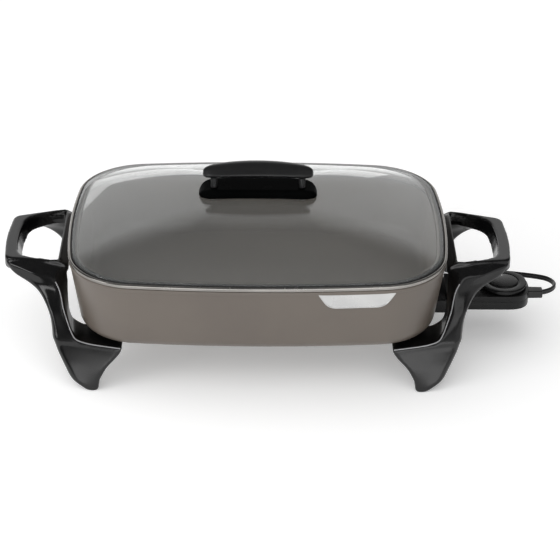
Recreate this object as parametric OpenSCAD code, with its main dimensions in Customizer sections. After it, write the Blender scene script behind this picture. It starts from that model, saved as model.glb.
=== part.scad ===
// Electric skillet with a lift-off glass lid and a plug-in heat control.
// Millimetres. +X points to the heat control, -Y to the cook, +Z up; z = 0 is the table.

/* [Pan] */
// Length of the lid and pan outline over the middle of its sides
outline_len = 410; // [380:2:430]
// Depth of the outline over the middle of its sides
outline_dep = 306; // [280:2:326]
// How far the long sides bow outwards
bow_long = 14.5; // [10:0.5:20]
// How far the short sides bow outwards
bow_short = 16; // [10:0.5:22]
// Radius of the outline's four corners
corner_r = 76; // [60:1:90]
// Height of the pan, from its underside to the top of its lip
pan_h = 76; // [62:1:96]
// Thickness of the cast wall
pan_wall = 3; // [2.4:0.2:5]
// Thickness of the cast cooking floor
pan_floor = 5; // [4:0.5:8]
// Width of the pan's lip
lip_w = 6; // [5:0.5:8]
// Draft of the pan's walls in degrees
pan_draft = 8; // [5:0.5:12]
// Outside radius between wall and underside
base_r = 15; // [10:1:22]
// Height of the pan's underside above the table
stand_h = 52.5; // [44:0.5:66]

/* [Lid] */
// Diameter of the rolled steel bead round the lid
bead_d = 3.6; // [3:0.2:5]
// Thickness of the rim's seat on the pan's lip
seat_t = 1.1; // [0.8:0.1:2]
// Depth of the steel skirt that drops inside the pan
skirt_h = 12; // [8:1:18]
// Rise of the glass dome at its middle
dome_h = 34; // [22:1:46]
// Thickness of the glass
glass_t = 3.6; // [3:0.2:5]
// Width of the glass edge that the steel rim holds
flange_w = 7; // [5:0.5:12]

/* [Lid handle] */
// Length of the grip
grip_len = 119; // [96:1:150]
// Depth of the grip, front to back
grip_dep = 30; // [24:1:38]
// Thickness of the grip at its middle
grip_t = 12.5; // [9:0.5:14]
// Drop of the grip's ends below its middle
grip_drop = 9; // [4:0.5:10]
// Finger gap between grip and base
grip_gap = 16; // [14:0.5:28]
// Length of the base on the glass
base_len = 128; // [110:1:160]
// Depth of the base, front to back
base_dep = 34; // [28:1:44]
// Thickness of the base at its middle
base_t = 8.5; // [6:0.5:12]
// Distance between the two posts
post_pitch = 95; // [76:1:104]

/* [Handle frames] */
// How far the grip bar stands out from the pan's side
handle_out = 70; // [61:1:86]
// How far the grip loop's top is below the pan's lip
handle_below = 14.5; // [11:0.5:20]
// Thickness of the grip loop
handle_t = 16; // [12:0.5:18]
// Diameter of the screws that hold the frames to the pan
frame_screw_d = 4.8; // [4:0.2:6]

/* [Heat control] */
// Distance from the pan's side to the control's round end
control_out = 95; // [86:1:118]
// Width of the control's housing
control_w = 54; // [48:1:60]
// Height of the control's housing
control_h = 16; // [15:0.5:19]
// Wall of the control's housing
control_wall = 2; // [1.6:0.1:2.6]
// Diameter of the dial
dial_d = 52; // [40:1:56]
// Thickness of the dial
dial_t = 5; // [4:0.5:8]
// Diameter of the temperature probe
probe_d = 6.4; // [5:0.1:7.4]
// Length of probe that enters the well under the pan
probe_in = 84; // [60:1:100]
// Distance between the two terminal pins
pin_pitch = 30; // [28:0.5:34]
// Diameter of the terminal pins
pin_d = 4.8; // [4:0.1:5]
// Diameter of the heating element's sheath
element_d = 8; // [6.6:0.2:9.6]

/* [Cord] */
// Diameter of the cord
cord_d = 6; // [4.8:0.2:6.4]

/* [Hidden] */
$fn = 64;
seat_gap = 0.3;    // between pieces that are seated on each other
slip = 0.1;        // round a screw or pin in its hole
cut = 1;           // how far a cutter runs past a face
sheet_t = 1.2;     // thickness of the pressed steel and copper pieces

// ---- outline shared by the pan and the lid: four shallow arcs and four corner arcs ----
half_len = outline_len / 2;
half_dep = outline_dep / 2;
long_r = (half_len * half_len + bow_long * bow_long) / (2 * bow_long);
short_r = (half_dep * half_dep + bow_short * bow_short) / (2 * bow_short);
long_c = [0, half_dep - long_r];
short_c = [half_len - short_r, 0];
corner_c = circle_meet(long_c, long_r - corner_r, short_c, short_r - corner_r);
corner_from = heading(corner_c - short_c);
corner_to = heading(corner_c - long_c);

// Direction of a vector, in degrees from +X
function heading(v) = atan2(v.y, v.x);

// Where two circles meet, on the side of +X and +Y
function circle_meet(c1, r1, c2, r2) =
    let (d = norm(c2 - c1), e = (c2 - c1) / d,
         along = (r1 * r1 - r2 * r2 + d * d) / (2 * d),
         across = sqrt(r1 * r1 - along * along))
    c1 + along * e + across * [e.y, -e.x];

// Samples on an arc: [point, outward normal]
function arc_samples(c, r, a0, a1, steps) =
    [for (k = [0:steps - 1]) let (a = a0 + (a1 - a0) * k / steps)
        [c + r * [cos(a), sin(a)], [cos(a), sin(a)]]];
function flip(s, fx, fy) = [[s[0].x * fx, s[0].y * fy], [s[1].x * fx, s[1].y * fy]];
function reversed(list) = [for (i = [len(list) - 1:-1:0]) list[i]];
quarter = concat(
    arc_samples(short_c, short_r, 0, corner_from, 3),
    arc_samples(corner_c, corner_r, corner_from, corner_to, 7),
    arc_samples(long_c, long_r, corner_to, 90, 4));
turned = [for (i = [1:len(quarter) - 1]) quarter[i]];
outline = concat(
    quarter,
    [[[0, half_dep], [0, 1]]],
    reversed([for (s = turned) flip(s, -1, 1)]),
    [[[-half_len, 0], [-1, 0]]],
    [for (s = turned) flip(s, -1, -1)],
    [[[0, -half_dep], [0, -1]]],
    reversed([for (s = turned) flip(s, 1, -1)]));

// The outline moved inwards by a distance and scaled to a share, at a height
function outline_ring(inset, z, share = 1) =
    [for (s = outline) concat((s[0] - inset * s[1]) * share, [z])];

// ---- solids from rings of points ----
// Triangles between ring a and ring b of n points
function band(a, b, n) = [for (i = [0:n - 1]) let (j = (i + 1) % n)
    each [[a * n + i, b * n + i, b * n + j], [a * n + i, b * n + j, a * n + j]]];

// Solid through a stack of rings, closed by a flat cap at each end
module loft(rings) {
    n = len(rings[0]);
    last = len(rings) - 1;
    polyhedron(
        points = [for (ring = rings) each ring],
        faces = concat(
            [[for (i = [0:n - 1]) i]],
            [for (k = [0:last - 1]) each band(k, k + 1, n)],
            [[for (i = [n - 1:-1:0]) last * n + i]]));
}

// Solid through rings whose last joins the first again, such as a rolled rim
module closed_loft(rings) {
    n = len(rings[0]);
    m = len(rings);
    polyhedron(
        points = [for (ring = rings) each ring],
        faces = [for (k = [0:m - 1]) each band(k, (k + 1) % m, n)]);
}

// Polygon whose corners are rounded by curves that start r before each corner
function rounded(corners, r, steps) =
    let (m = len(corners))
    [for (i = [0:m - 1]) let (
            p = corners[i], q = corners[(i + m - 1) % m], s = corners[(i + 1) % m],
            size = is_list(r) ? r[i] : r,
            a = p + (q - p) * min(0.46, size / norm(q - p)),
            b = p + (s - p) * min(0.46, size / norm(s - p)))
        each [for (k = [0:steps]) let (t = k / steps)
            a * (1 - t) * (1 - t) + 2 * p * t * (1 - t) + b * t * t]];

// Smooth curve through the rows of a list, with a number of steps to each row
function through(list, steps) =
    let (m = len(list))
    concat([for (i = [0:m - 2]) let (
            p0 = list[max(i - 1, 0)], p1 = list[i], p2 = list[i + 1], p3 = list[min(i + 2, m - 1)])
        each [for (k = [0:steps - 1]) let (t = k / steps)
            0.5 * (2 * p1 + (p2 - p0) * t + (2 * p0 - 5 * p1 + 4 * p2 - p3) * t * t
                + (3 * p1 - p0 - 3 * p2 + p3) * t * t * t)]],
        [list[m - 1]]);

// ---- heights and places that several pieces share ----
lip_z = stand_h + pan_h;
handle_z = lip_z - handle_below;                   // top of the grip loop
handle_reach = half_len + handle_out;
control_reach = half_len + control_out;
rim_z = lip_z + seat_gap + seat_t + bead_d / 2;    // middle of the lid's bead
frame_seat = [half_len - 45, half_dep - 58];       // where a frame is screwed to the pan
shelf_z = stand_h - 3.5;                           // top of the frames' shelves
screw_bite = 6.4;                                  // how far a frame screw reaches above a shelf
well_d = probe_d + 2.2;                            // outside of the probe's well
probe_z = stand_h - seat_gap - well_d / 2;
pin_z = stand_h - seat_gap - element_d / 2;        // height of the element and its pins
guard_x = half_len - 29;                           // inner wall of the guard round the pins
control_floor = probe_z - 7.9;                     // underside of the heat control
relief_len = 16;                                   // strain relief beyond the control's end
// The middle between the left grip bar and the strain relief's end stands at x = 0
body_shift = (handle_reach - control_reach - relief_len) / 2;

module at_frame_seats() {
    for (x = [-1, 1], y = [-1, 1]) translate([x * frame_seat.x, y * frame_seat.y, 0]) children();
}
module both_sides(y) { for (s = [-1, 1]) translate([0, s * y, 0]) children(); }
// Cylinder along +X from the origin
module rod(d, h) { rotate([0, 90, 0]) cylinder(d = d, h = h); }

// ---- pan ----
lip_out = 0.6;
lip_h = 3.6;
boss_d = 14;
inner_r = base_r - pan_wall;
rail = [2, 4.5];                      // width and height of the cast rails beside the element
// Inset and height of the rounding between a wall and a floor, from the floor up
function foot_curve(r, wall_inset, z) = [for (k = [0:4]) let (a = 90 - k * (90 - pan_draft) / 4)
    [wall_inset + r * (cos(pan_draft) - cos(a)), z + r * (1 - sin(a))]];
// Inset of a wall at the height where its rounding starts
function wall_foot(top_inset, depth, r) =
    top_inset + (depth - r * (1 - sin(pan_draft))) * tan(pan_draft);

module pan_shell() {
    outside = foot_curve(base_r, wall_foot(lip_out + 1, pan_h, base_r), stand_h);
    inside = foot_curve(inner_r, wall_foot(lip_w, pan_h - pan_floor, inner_r), stand_h + pan_floor);
    loft(concat(
        [for (s = outside) outline_ring(s.x, s.y)],
        [outline_ring(lip_out + 1, lip_z - lip_h - 0.6),
         outline_ring(lip_out, lip_z - lip_h),
         outline_ring(lip_out, lip_z - 0.8),
         outline_ring(lip_out + 0.8, lip_z),
         outline_ring(lip_w - 0.8, lip_z),
         outline_ring(lip_w, lip_z - 0.8)],
        reversed([for (s = inside) outline_ring(s.x, s.y)])));
}

// Two rails along each long run of the element and along its left run
module element_rails() {
    along = element_right - element_left - 2 * element_bend;
    across = 2 * (element_dep - element_bend);
    off = element_d / 2 + 2 * seat_gap + rail[0] / 2;
    translate([0, 0, stand_h - rail[1]]) for (s = [-off, off]) {
        both_sides(element_dep + s) translate([element_left + element_bend, -rail[0] / 2, 0])
            cube([along, rail[0], rail[1] + cut]);
        translate([element_left + s - rail[0] / 2, -across / 2, 0])
            cube([rail[0], across, rail[1] + cut]);
    }
}

module pan() {
    color("#6b655e")
        difference() {
            union() {
                pan_shell();
                at_frame_seats() translate([0, 0, shelf_z + seat_gap])
                    cylinder(d = boss_d, h = stand_h - shelf_z + pan_floor / 2);
                element_rails();
            }
            at_frame_seats() translate([0, 0, shelf_z - cut])
                cylinder(d = frame_screw_d + 2 * slip, h = screw_bite + cut);
            translate([guard_screw_x, 0, stand_h - cut]) both_sides(guard_screw_y)
                cylinder(d = guard_screw_d + 2 * slip, h = guard_screw_bite + cut);
        }
}

// ---- heating element, its pins and the probe's well ----
element_tail = [guard_x - 31, 20];    // where a tail's straight end starts, and its bend's radius
element_bend = 40;                    // radius of the loop's corners
element_dep = half_dep - 68;          // half depth of the loop
element_left = 75 - half_len;
element_right = element_tail.x - element_tail[1];
pin_len = 30;

// Quarter of a round tube, from heading a to heading a + 90 round the origin
module quarter_tube(r, d, a) {
    rotate([0, 0, a]) rotate_extrude(angle = 90) translate([r, 0]) circle(d = d);
}

// Half of the element's loop, on the +Y side, with its tail to the pins
module element_half(d) {
    y0 = pin_pitch / 2;
    tail_y = y0 + element_tail[1];
    far_y = element_dep - element_bend;
    translate([element_tail.x, y0, 0]) rod(d, guard_x - element_tail.x);
    translate([element_tail.x, tail_y, 0]) quarter_tube(element_tail[1], d, 180);
    translate([element_right, tail_y, 0]) rotate([-90, 0, 0]) cylinder(d = d, h = far_y - tail_y);
    translate([element_right - element_bend, far_y, 0]) quarter_tube(element_bend, d, 0);
    translate([element_left + element_bend, element_dep, 0])
        rod(d, element_right - element_left - 2 * element_bend);
    translate([element_left + element_bend, far_y, 0]) quarter_tube(element_bend, d, 90);
    translate([element_left, 0, 0]) rotate([-90, 0, 0]) cylinder(d = d, h = far_y);
}

module heating_element() {
    color("#77736c") translate([0, 0, pin_z])
        for (y = [0, 1]) mirror([0, y, 0]) element_half(element_d);
}

module terminal_pins() {
    color("#b9b6ae") translate([guard_x, 0, pin_z]) both_sides(pin_pitch / 2) {
        rod(pin_d, pin_len - 1);
        translate([pin_len - 1, 0, 0]) rotate([0, 90, 0]) cylinder(d1 = pin_d, d2 = pin_d - 2, h = 1);
    }
}

bush_d = pin_d + 3;
bush_len = 6;
module pin_insulators() {
    color("#e8e2d2") translate([guard_x + seat_gap, 0, pin_z]) both_sides(pin_pitch / 2)
        difference() {
            rod(bush_d, bush_len);
            translate([-cut, 0, 0]) rod(pin_d + 2 * slip, bush_len + 2 * cut);
        }
}

well_end = 6;
well_len = probe_in + well_end;
module probe_well() {
    color("#8a857d") translate([guard_x - well_len, 0, probe_z])
        difference() {
            rod(well_d, well_len);
            translate([well_end, 0, 0]) rod(probe_d + 2 * seat_gap, well_len);
        }
}

// ---- guard round the pins ----
guard_len = 32;
guard_t = 2;
guard_room = 0.6;    // between guard and control
guard_w = control_w + 2 * (guard_room + guard_t);
guard_floor = control_floor - guard_room - guard_t;
guard_top = stand_h - seat_gap;
guard_screw_d = 4;
guard_screw_bite = 4;
guard_screw_x = guard_x - 7;
guard_screw_y = guard_w / 2 - 4.6;
ear = [14, 9.2];

// Slot through the guard's inner wall, round below and open at the top
module notch(d) {
    rod(d, guard_t + 2 * cut);
    translate([0, -d / 2, 0]) cube([guard_t + 2 * cut, d, guard_top]);
}

module terminal_guard() {
    color("#202022") difference() {
        union() {
            translate([guard_x, -guard_w / 2, guard_floor])
                cube([guard_len, guard_w, guard_top - guard_floor]);
            for (s = [-1, 1]) translate([guard_x - ear.x, s > 0 ? guard_w / 2 - ear.y : -guard_w / 2,
                    guard_top - guard_t])
                cube([ear.x + cut, ear.y, guard_t]);
        }
        translate([guard_x + guard_t, guard_t - guard_w / 2, guard_floor + guard_t])
            cube([guard_len, guard_w - 2 * guard_t, guard_top - guard_floor]);
        translate([guard_x - cut, 0, probe_z]) notch(well_d + 2 * seat_gap);
        translate([guard_x - cut, 0, pin_z]) both_sides(pin_pitch / 2) notch(bush_d + 2 * slip);
        translate([guard_screw_x, 0, guard_top - guard_t - cut]) both_sides(guard_screw_y)
            cylinder(d = guard_screw_d + 2 * slip, h = guard_t + 2 * cut);
    }
}

// Pan-head screw standing on its head's underside at z = 0, shank upwards, with a cross recess
module screw(d, length, head_d, head_h) {
    difference() {
        union() {
            cylinder(d = d, h = length);
            translate([0, 0, -head_h]) cylinder(d1 = head_d * 0.8, d2 = head_d, h = head_h * 0.45);
            translate([0, 0, -head_h * 0.55]) cylinder(d = head_d, h = head_h * 0.55);
        }
        for (a = [0, 90]) rotate([0, 0, a]) translate([-head_d * 0.28, -head_d * 0.06, -head_h - cut])
            cube([head_d * 0.56, head_d * 0.12, head_h * 0.5 + cut]);
    }
}

module guard_screws() {
    color("#c9c9c7") translate([guard_screw_x, 0, guard_top - guard_t - slip])
        both_sides(guard_screw_y)
            screw(guard_screw_d, guard_t + guard_screw_bite, 7.4, 2.4);
}

// ---- handle frames ----
// Corners of a leg's outline at a height, going round from the inner front:
// [z, inner front, outer front, outer side, outer rear, inner rear] as x and y of each,
// drawn for the half outline, the shelf height and the loop height in drawn_for
drawn_for = [205, 153, 49, 112];
foot = [
    [0,    169, -137,   180, -137,    183, -129,   183, -118,   169, -118],
    [4,    168, -137,   186, -137,    190, -128,   190, -116,   168, -116],
    [11,   167, -136,   195, -135,    199, -127,   199, -110,   165, -110],
    [24,   160, -134,   203, -127,    207, -118,   208, -99,    157, -99],
    [36,   149, -132,   210, -120,    213.5, -111, 214, -89,    148, -88],
    [43,   144, -131,   213, -116,    216.5, -107, 217, -83,    144, -82],
    [47.5, 143, -130,   215, -114.5,  218.5, -105, 219, -79,    143, -79]];
column = [
    [49,   186, -120.5, 215.5, -114,  219, -104.5, 219, -78,    186, -77],
    [51.5, 191, -118.5, 216, -112.5,  219, -103,   219, -78,    192, -76],
    [57,   196, -113.5, 216.5, -109,  219.5, -101, 220, -76,    199, -75],
    [66,   201, -104.5, 217.5, -104,  221, -97,    221, -74,    202, -72],
    [75,   204, -97.5,  220, -97,     225, -91,    225, -72,    202.5, -69],
    [85,   205.5, -91,  225, -85,     234, -77,    235, -69,    202.5, -66],
    [92,   206.5, -86,  228.5, -77,   243, -71,    247, -65,    202.5, -61],
    [98,   208, -81,    234, -73,     258, -62,    264, -56,    203, -61],
    [103.7, 210, -77,   241, -69.5,   267, -55,    271, -47,    204, -62],
    [106.7, 211.5, -73, 254, -61,     269, -53,    272, -47,    204, -62],
    [108.7, 213, -69,   256, -57,     268, -51,    271, -47,    205, -62],
    [110.7, 214, -66,   250, -57,     262, -51,    266, -48,    206, -62]];
leg_round = [5, 5, 6, 5, 4];
fine_rows = 8;                        // rows of the column that get a step between them
drawn = [half_len - drawn_for[0], half_dep - drawn_for[1]];
// Height in the model of a height in the tables
function leg_z(z) = z < drawn_for[2] ? z * shelf_z / drawn_for[2] :
    shelf_z + (z - drawn_for[2]) * (handle_z - shelf_z) / (drawn_for[3] - drawn_for[2]);
// Corner in the model of a corner in the tables
function leg_xy(x, y) = [x + drawn.x, y + (y < 0 ? -drawn.y : drawn.y)];

function leg_ring(s) = [for (p = rounded([for (k = [0:4]) leg_xy(s[1 + 2 * k], s[2 + 2 * k])],
    leg_round, 3)) [p.x, p.y, leg_z(s[0])]];

module leg() {
    low_rows = through([for (i = [0:fine_rows]) column[i]], 2);
    top_rows = [for (i = [fine_rows + 1:len(column) - 1]) column[i]];
    loft([for (s = concat(through(foot, 2), low_rows, top_rows)) leg_ring(s)]);
}

// Two pockets on each leg's inner side, with a rib between them
leg_wall = 3.2;
pocket_rows = [[5, 16], [18.5, 30]];
pocket_rear = -104;
function foot_value(z, k) = lookup(z, [for (s = foot) [s[0], s[k]]]);
function pocket_ring(z) =
    let (side = leg_wall + cut, open = foot_value(z, 1) - 12,
         rear = min(foot_value(z, 8) - leg_wall, pocket_rear))
    [for (c = [[open, foot_value(z, 2) + leg_wall],
            [foot_value(z, 3) - leg_wall, foot_value(z, 4) + leg_wall],
            [foot_value(z, 5) - side, foot_value(z, 6)], [foot_value(z, 7) - side, rear], [open, rear]])
        concat(leg_xy(c.x, c.y), [leg_z(z)])];

module leg_pockets() { for (row = pocket_rows) loft([for (z = row) pocket_ring(z)]); }

arm_out = [half_len - 2, half_len + 17];    // inner side of the loop, and where its arms turn
loop_outer = [for (c = [[handle_reach, 12], [handle_reach - 3, 50.5], [arm_out[1], 62],
    [arm_out[0], 62], [arm_out[0], -62], [arm_out[1], -62], [handle_reach - 3, -50.5],
    [handle_reach, -12]]) c + [0, sign(c.y) * drawn.y]];
loop_inner = [for (c = [[handle_reach - 13.5, 12], [handle_reach - 17, 46], [arm_out[1], 59],
    [arm_out[0] + 11, 59], [arm_out[0] + 11, -59], [arm_out[1], -59], [handle_reach - 17, -46],
    [handle_reach - 13.5, -12]]) c + [0, sign(c.y) * drawn.y]];
outer_round = [10, 8, 10, 4, 4, 10, 8, 10];
inner_round = [8, 26, 10, 6, 6, 10, 26, 8];
loop_tilt = 0.052;    // rise of the loop towards the pan
function moved_in(corners, d) = [for (c = corners)
    [c.x - (c.x > arm_out[1] ? d : 0), c.y - sign(c.y) * d]];
function loop_ring(corners, r, z, inset = 0) =
    [for (p = rounded(moved_in(corners, inset), r, 4)) [p.x, p.y, z + loop_tilt * (handle_reach - p.x)]];

module loop() {
    closed_loft([
        loop_ring(loop_outer, outer_round, handle_z - handle_t, 4.5),
        loop_ring(loop_outer, outer_round, handle_z - handle_t + 1.5, 1.5),
        loop_ring(loop_outer, outer_round, handle_z - handle_t + 4.5),
        loop_ring(loop_outer, outer_round, handle_z - 1.5),
        loop_ring(loop_outer, outer_round, handle_z, 1.5),
        loop_ring(loop_inner, inner_round, handle_z, -1.5),
        loop_ring(loop_inner, inner_round, handle_z - 2),
        loop_ring(loop_inner, inner_round, handle_z - handle_t)]);
}

module frame() {
    difference() {
        union() {
            loop();
            for (y = [0, 1]) mirror([0, y, 0]) leg();
        }
        for (y = [0, 1]) mirror([0, y, 0]) leg_pockets();
        both_sides(frame_seat.y) translate([frame_seat.x, 0, 0]) {
            translate([0, 0, -cut]) cylinder(d = frame_screw_d + 2 * slip, h = shelf_z + 2 * cut);
            translate([0, 0, -cut]) cylinder(d = frame_head_d + 1, h = shelf_z - shelf_t + cut);
        }
    }
}
frame_head_d = 9.5;
shelf_t = 5;

module right_handle_frame() { color("#1b1b1d") frame(); }
module left_handle_frame() { color("#1b1b1d") mirror([1, 0, 0]) frame(); }
module frame_screws() {
    color("#c9c9c7") at_frame_seats() translate([0, 0, shelf_z - shelf_t - slip])
        screw(frame_screw_d, shelf_t + screw_bite - seat_gap, frame_head_d, 3.2);
}

// ---- lid ----
bead_r = bead_d / 2;
skirt_t = 0.9;
skirt_in = lip_w + skirt_h * tan(pan_draft) + 0.7;     // inset of the skirt's outer face
ledge_in = skirt_in + skirt_t;
ledge_z = rim_z - 1;
seal_t = 0.8;
seal_in = bead_d + 0.2;
glass_in = seal_in + seal_t + slip;
glass_z = ledge_z + seal_t;                            // underside of the glass edge
dome_in = glass_in + flange_w;
dome_power = 2.1;
function dome(share) = dome_h * (1 - pow(share, dome_power));
// Height of the glass's outer face over the X axis
function glass_top(x) = glass_z + glass_t + dome(max(0.12, abs(x) / (half_len - dome_in)));

module lid_rim() {
    seat = -bead_r - seat_t;
    color("#d3d3d1") closed_loft([
        outline_ring(bead_r, rim_z + seat), outline_ring(0.5, rim_z - bead_r * 0.8),
        outline_ring(0, rim_z), outline_ring(bead_r * 0.3, rim_z + bead_r * 0.7),
        outline_ring(bead_r, rim_z + bead_r), outline_ring(bead_r * 1.7, rim_z + bead_r * 0.7),
        outline_ring(bead_d, rim_z), outline_ring(bead_d + 0.1, ledge_z),
        outline_ring(ledge_in, ledge_z), outline_ring(ledge_in, rim_z + seat - skirt_h),
        outline_ring(skirt_in, rim_z + seat - skirt_h), outline_ring(skirt_in, rim_z + seat)]);
}

module glass_seal() {
    foot_z = ledge_z + slip;
    top_z = glass_z + glass_t - 0.8;
    color("#2a2a2c") closed_loft([
        outline_ring(seal_in, foot_z), outline_ring(seal_in, top_z - 0.3),
        outline_ring(seal_in + seal_t / 2, top_z), outline_ring(seal_in + seal_t, top_z - 0.3),
        outline_ring(seal_in + seal_t, glass_z - slip), outline_ring(ledge_in, glass_z - slip),
        outline_ring(ledge_in, foot_z)]);
}

module lid_glass() {
    shares = [0.12, 0.36, 0.58, 0.77, 0.91, 1];
    edge = 0.9;
    color("#c8d2d2", 0.4) difference() {
        loft(concat(
            [for (s = shares) outline_ring(dome_in, glass_z + dome(s), s)],
            [outline_ring(glass_in + edge, glass_z), outline_ring(glass_in, glass_z + edge),
             outline_ring(glass_in, glass_z + glass_t - edge),
             outline_ring(glass_in + edge, glass_z + glass_t)],
            reversed([for (s = shares) outline_ring(dome_in, glass_z + glass_t + dome(s), s)])));
        at_posts() translate([0, 0, glass_z]) cylinder(d = glass_hole_d, h = dome_h + glass_t + cut);
    }
}

// ---- lid handle ----
lid_screw_d = 4;
glass_hole_d = 8;
grommet_d = 12;
grommet_t = 1.4;
base_top = glass_top(0) + seat_gap + base_t;
grip_top = base_top + grip_gap + grip_t;
grip_tip = 6.5;      // how far the grip's ends turn down
post_w = 7;
post_dep = 17;
module at_posts() { for (s = [-1, 1]) translate([s * post_pitch / 2, 0, 0]) children(); }
// How full a rounded end is at a share of its half length
function fullness(share, power) = pow(max(0, 1 - pow(abs(share), power)), 1 / 2.2);
// Stations along a bar, closer together towards its ends
function stations(steps) = [for (k = [0:steps]) -cos(180 * k / steps) * 0.998];
// Ring across a bar at x, for a loft along +X
function cross_ring(x, corners, r) = [for (p = rounded(corners, r, 3)) [x, p.x, p.y]];

module knob_base() {
    color("#1b1b1d") difference() {
        loft([for (u = stations(18)) let (
                x = u * base_len / 2, w = base_dep / 2 * max(0.3, fullness(u, 9)),
                low = glass_top(x) + seat_gap,
                high = low + (base_top - low) * max(0.25, fullness(u, 8)))
            cross_ring(x, [[-w, low], [w, low], [w, high], [-w, high]], [0.8, 0.8, 5, 5])]);
        at_posts() translate([0, 0, glass_z + glass_t])
            cylinder(d = lid_screw_d + 2 * slip, h = dome_h + base_t + cut);
    }
}

module knob_grip() {
    post_z = base_top + slip;
    color("#1b1b1d") difference() {
        union() {
            loft([for (u = stations(18)) let (
                    x = u * grip_len / 2, w = grip_dep / 2 * max(0.3, fullness(u, 4)),
                    top = grip_top - grip_drop * u * u,
                    under = grip_top - grip_t - grip_tip * pow(abs(u), 5),
                    t = (top - under) * max(0.35, fullness(u, 14)),
                    high = (top + under + t) / 2, low = high - t)
                cross_ring(x, [[-w * 0.8, low], [w * 0.8, low], [w, low + t * 0.25], [w, low + t * 0.45],
                    [w * 0.3, high], [-w * 0.3, high], [-w, low + t * 0.45], [-w, low + t * 0.25]],
                    [2, 2, 1.5, 3, 6, 6, 3, 1.5])]);
            at_posts() translate([0, 0, post_z]) linear_extrude(grip_gap)
                polygon(rounded([[-post_w / 2, -post_dep / 2], [post_w / 2, -post_dep / 2],
                    [post_w / 2, post_dep / 2], [-post_w / 2, post_dep / 2]], 3, 4));
        }
        at_posts() translate([0, 0, post_z - cut])
            cylinder(d = lid_screw_d + 2 * slip, h = lid_screw_bite + cut);
    }
}

lid_screw_bite = 15;
// Underside of the glass at the lower side of a grommet
grommet_z = glass_top(post_pitch / 2 + grommet_d / 2) - glass_t - 2 * seat_gap;
module knob_grommets() {
    color("#3a3a3c") at_posts() translate([0, 0, grommet_z - grommet_t])
        difference() {
            union() {
                cylinder(d = grommet_d, h = grommet_t);
                cylinder(d = glass_hole_d - 2 * slip, h = grommet_t + glass_t);
            }
            translate([0, 0, -cut]) cylinder(d = lid_screw_d + 2 * slip, h = grommet_t + glass_t + 2 * cut);
        }
}

module knob_screws() {
    head_z = grommet_z - grommet_t - slip;
    color("#d8d8d6") at_posts() translate([0, 0, head_z])
        screw(lid_screw_d, base_top + lid_screw_bite - 1 - head_z, 8.6, 2.6);
}

// ---- heat control ----
deck_z = control_floor + control_h;
split_z = control_floor + 9;
nose_x = guard_x + 12;                  // front of the part that enters the guard
body_x = nose_x + 20;                   // where the full height starts
nose_top = stand_h - 0.4;
control_end_r = 24;
dial_x = control_reach - dial_d / 2 - 2;
shaft_d = 6;
lens_d = 6;
lens_x = dial_x - dial_d / 2 - 7;
relief_z = control_floor + 7.2;
sleeve_d = pin_d + 1.6;
sleeve_len = 26;
control_screw_d = 2.8;
boss = [7, 6];                           // outside of a screw's boss, and bore over its head
control_screw_at = [[body_x + 14, control_w / 2 - 6], [control_reach - 17, control_w / 2 - 11]];

// Plan of the housing from x0 to its round end, moved inwards by a wall
function control_plan(x0, wall) =
    let (w = control_w / 2 - wall, x1 = control_reach - wall)
    rounded([[x0, -w], [x1, -w], [x1, w], [x0, w]],
        [2, control_end_r - wall, control_end_r - wall, 2], 8);

module at_control_screws() {
    for (p = control_screw_at, s = [-1, 1]) translate([p.x, s * p.y, 0]) children();
}

// Room for the strain relief in the end wall
module relief_slot() {
    translate([control_reach - relief_neck - cut, 1 - relief_w / 2 - slip,
            relief_z - relief_h / 2 + 1 - slip])
        cube([relief_neck + 3 * cut, relief_w - 2 + 2 * slip, relief_h - 2 + 2 * slip]);
}

// Bores for the probe and the sleeves, through the nose and the housing's front wall
module nose_bores() {
    nose_len = body_x - nose_x + control_wall + 2 * cut;
    translate([nose_x - cut, 0, probe_z]) rod(probe_d + 2 * slip, nose_len);
    translate([nose_x - cut, 0, pin_z]) both_sides(pin_pitch / 2) rod(sleeve_d + 2 * slip, nose_len);
}

module control_bottom() {
    color("#1e1e20") difference() {
        union() {
            difference() {
                translate([0, 0, control_floor]) linear_extrude(split_z - control_floor)
                    polygon(control_plan(nose_x, 0));
                translate([0, 0, control_floor + control_wall]) linear_extrude(control_h)
                    polygon(control_plan(body_x + control_wall, control_wall));
            }
            translate([nose_x, -control_w / 2, split_z - cut])
                cube([body_x - nose_x, control_w, nose_top - split_z + cut]);
            translate([0, 0, control_floor]) at_control_screws() 
                cylinder(d = boss[0], h = split_z - control_floor);
        }
        nose_bores();
        at_control_screws() translate([0, 0, control_floor - cut]) {
            cylinder(d = control_screw_d + 2 * slip, h = control_h);
            cylinder(d = boss[1], h = cut + 3);
        }
        relief_slot();
    }
}

module control_top() {
    color("#1e1e20") difference() {
        union() {
            difference() {
                translate([0, 0, split_z + slip]) linear_extrude(deck_z - split_z - slip)
                    polygon(control_plan(body_x + slip, 0));
                translate([0, 0, split_z - cut]) linear_extrude(deck_z - control_wall - split_z + cut)
                    polygon(control_plan(body_x + control_wall, control_wall));
            }
            translate([0, 0, split_z + slip]) at_control_screws()
                cylinder(d = boss[0], h = deck_z - control_wall / 2 - split_z);
        }
        at_control_screws() translate([0, 0, split_z - cut])
            cylinder(d = control_screw_d + 2 * slip, h = cut + 3.6);
        translate([dial_x, 0, split_z]) cylinder(d = shaft_d + 2 * seat_gap, h = control_h);
        translate([lens_x, 0, split_z]) cylinder(d = lens_d + 2 * slip, h = control_h);
        nose_bores();
        relief_slot();
    }
}

module control_screws() {
    color("#b5b5b3") at_control_screws() translate([0, 0, control_floor + 3 - slip])
        screw(control_screw_d, split_z - control_floor, boss[1] - 0.6, 2);
}

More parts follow.
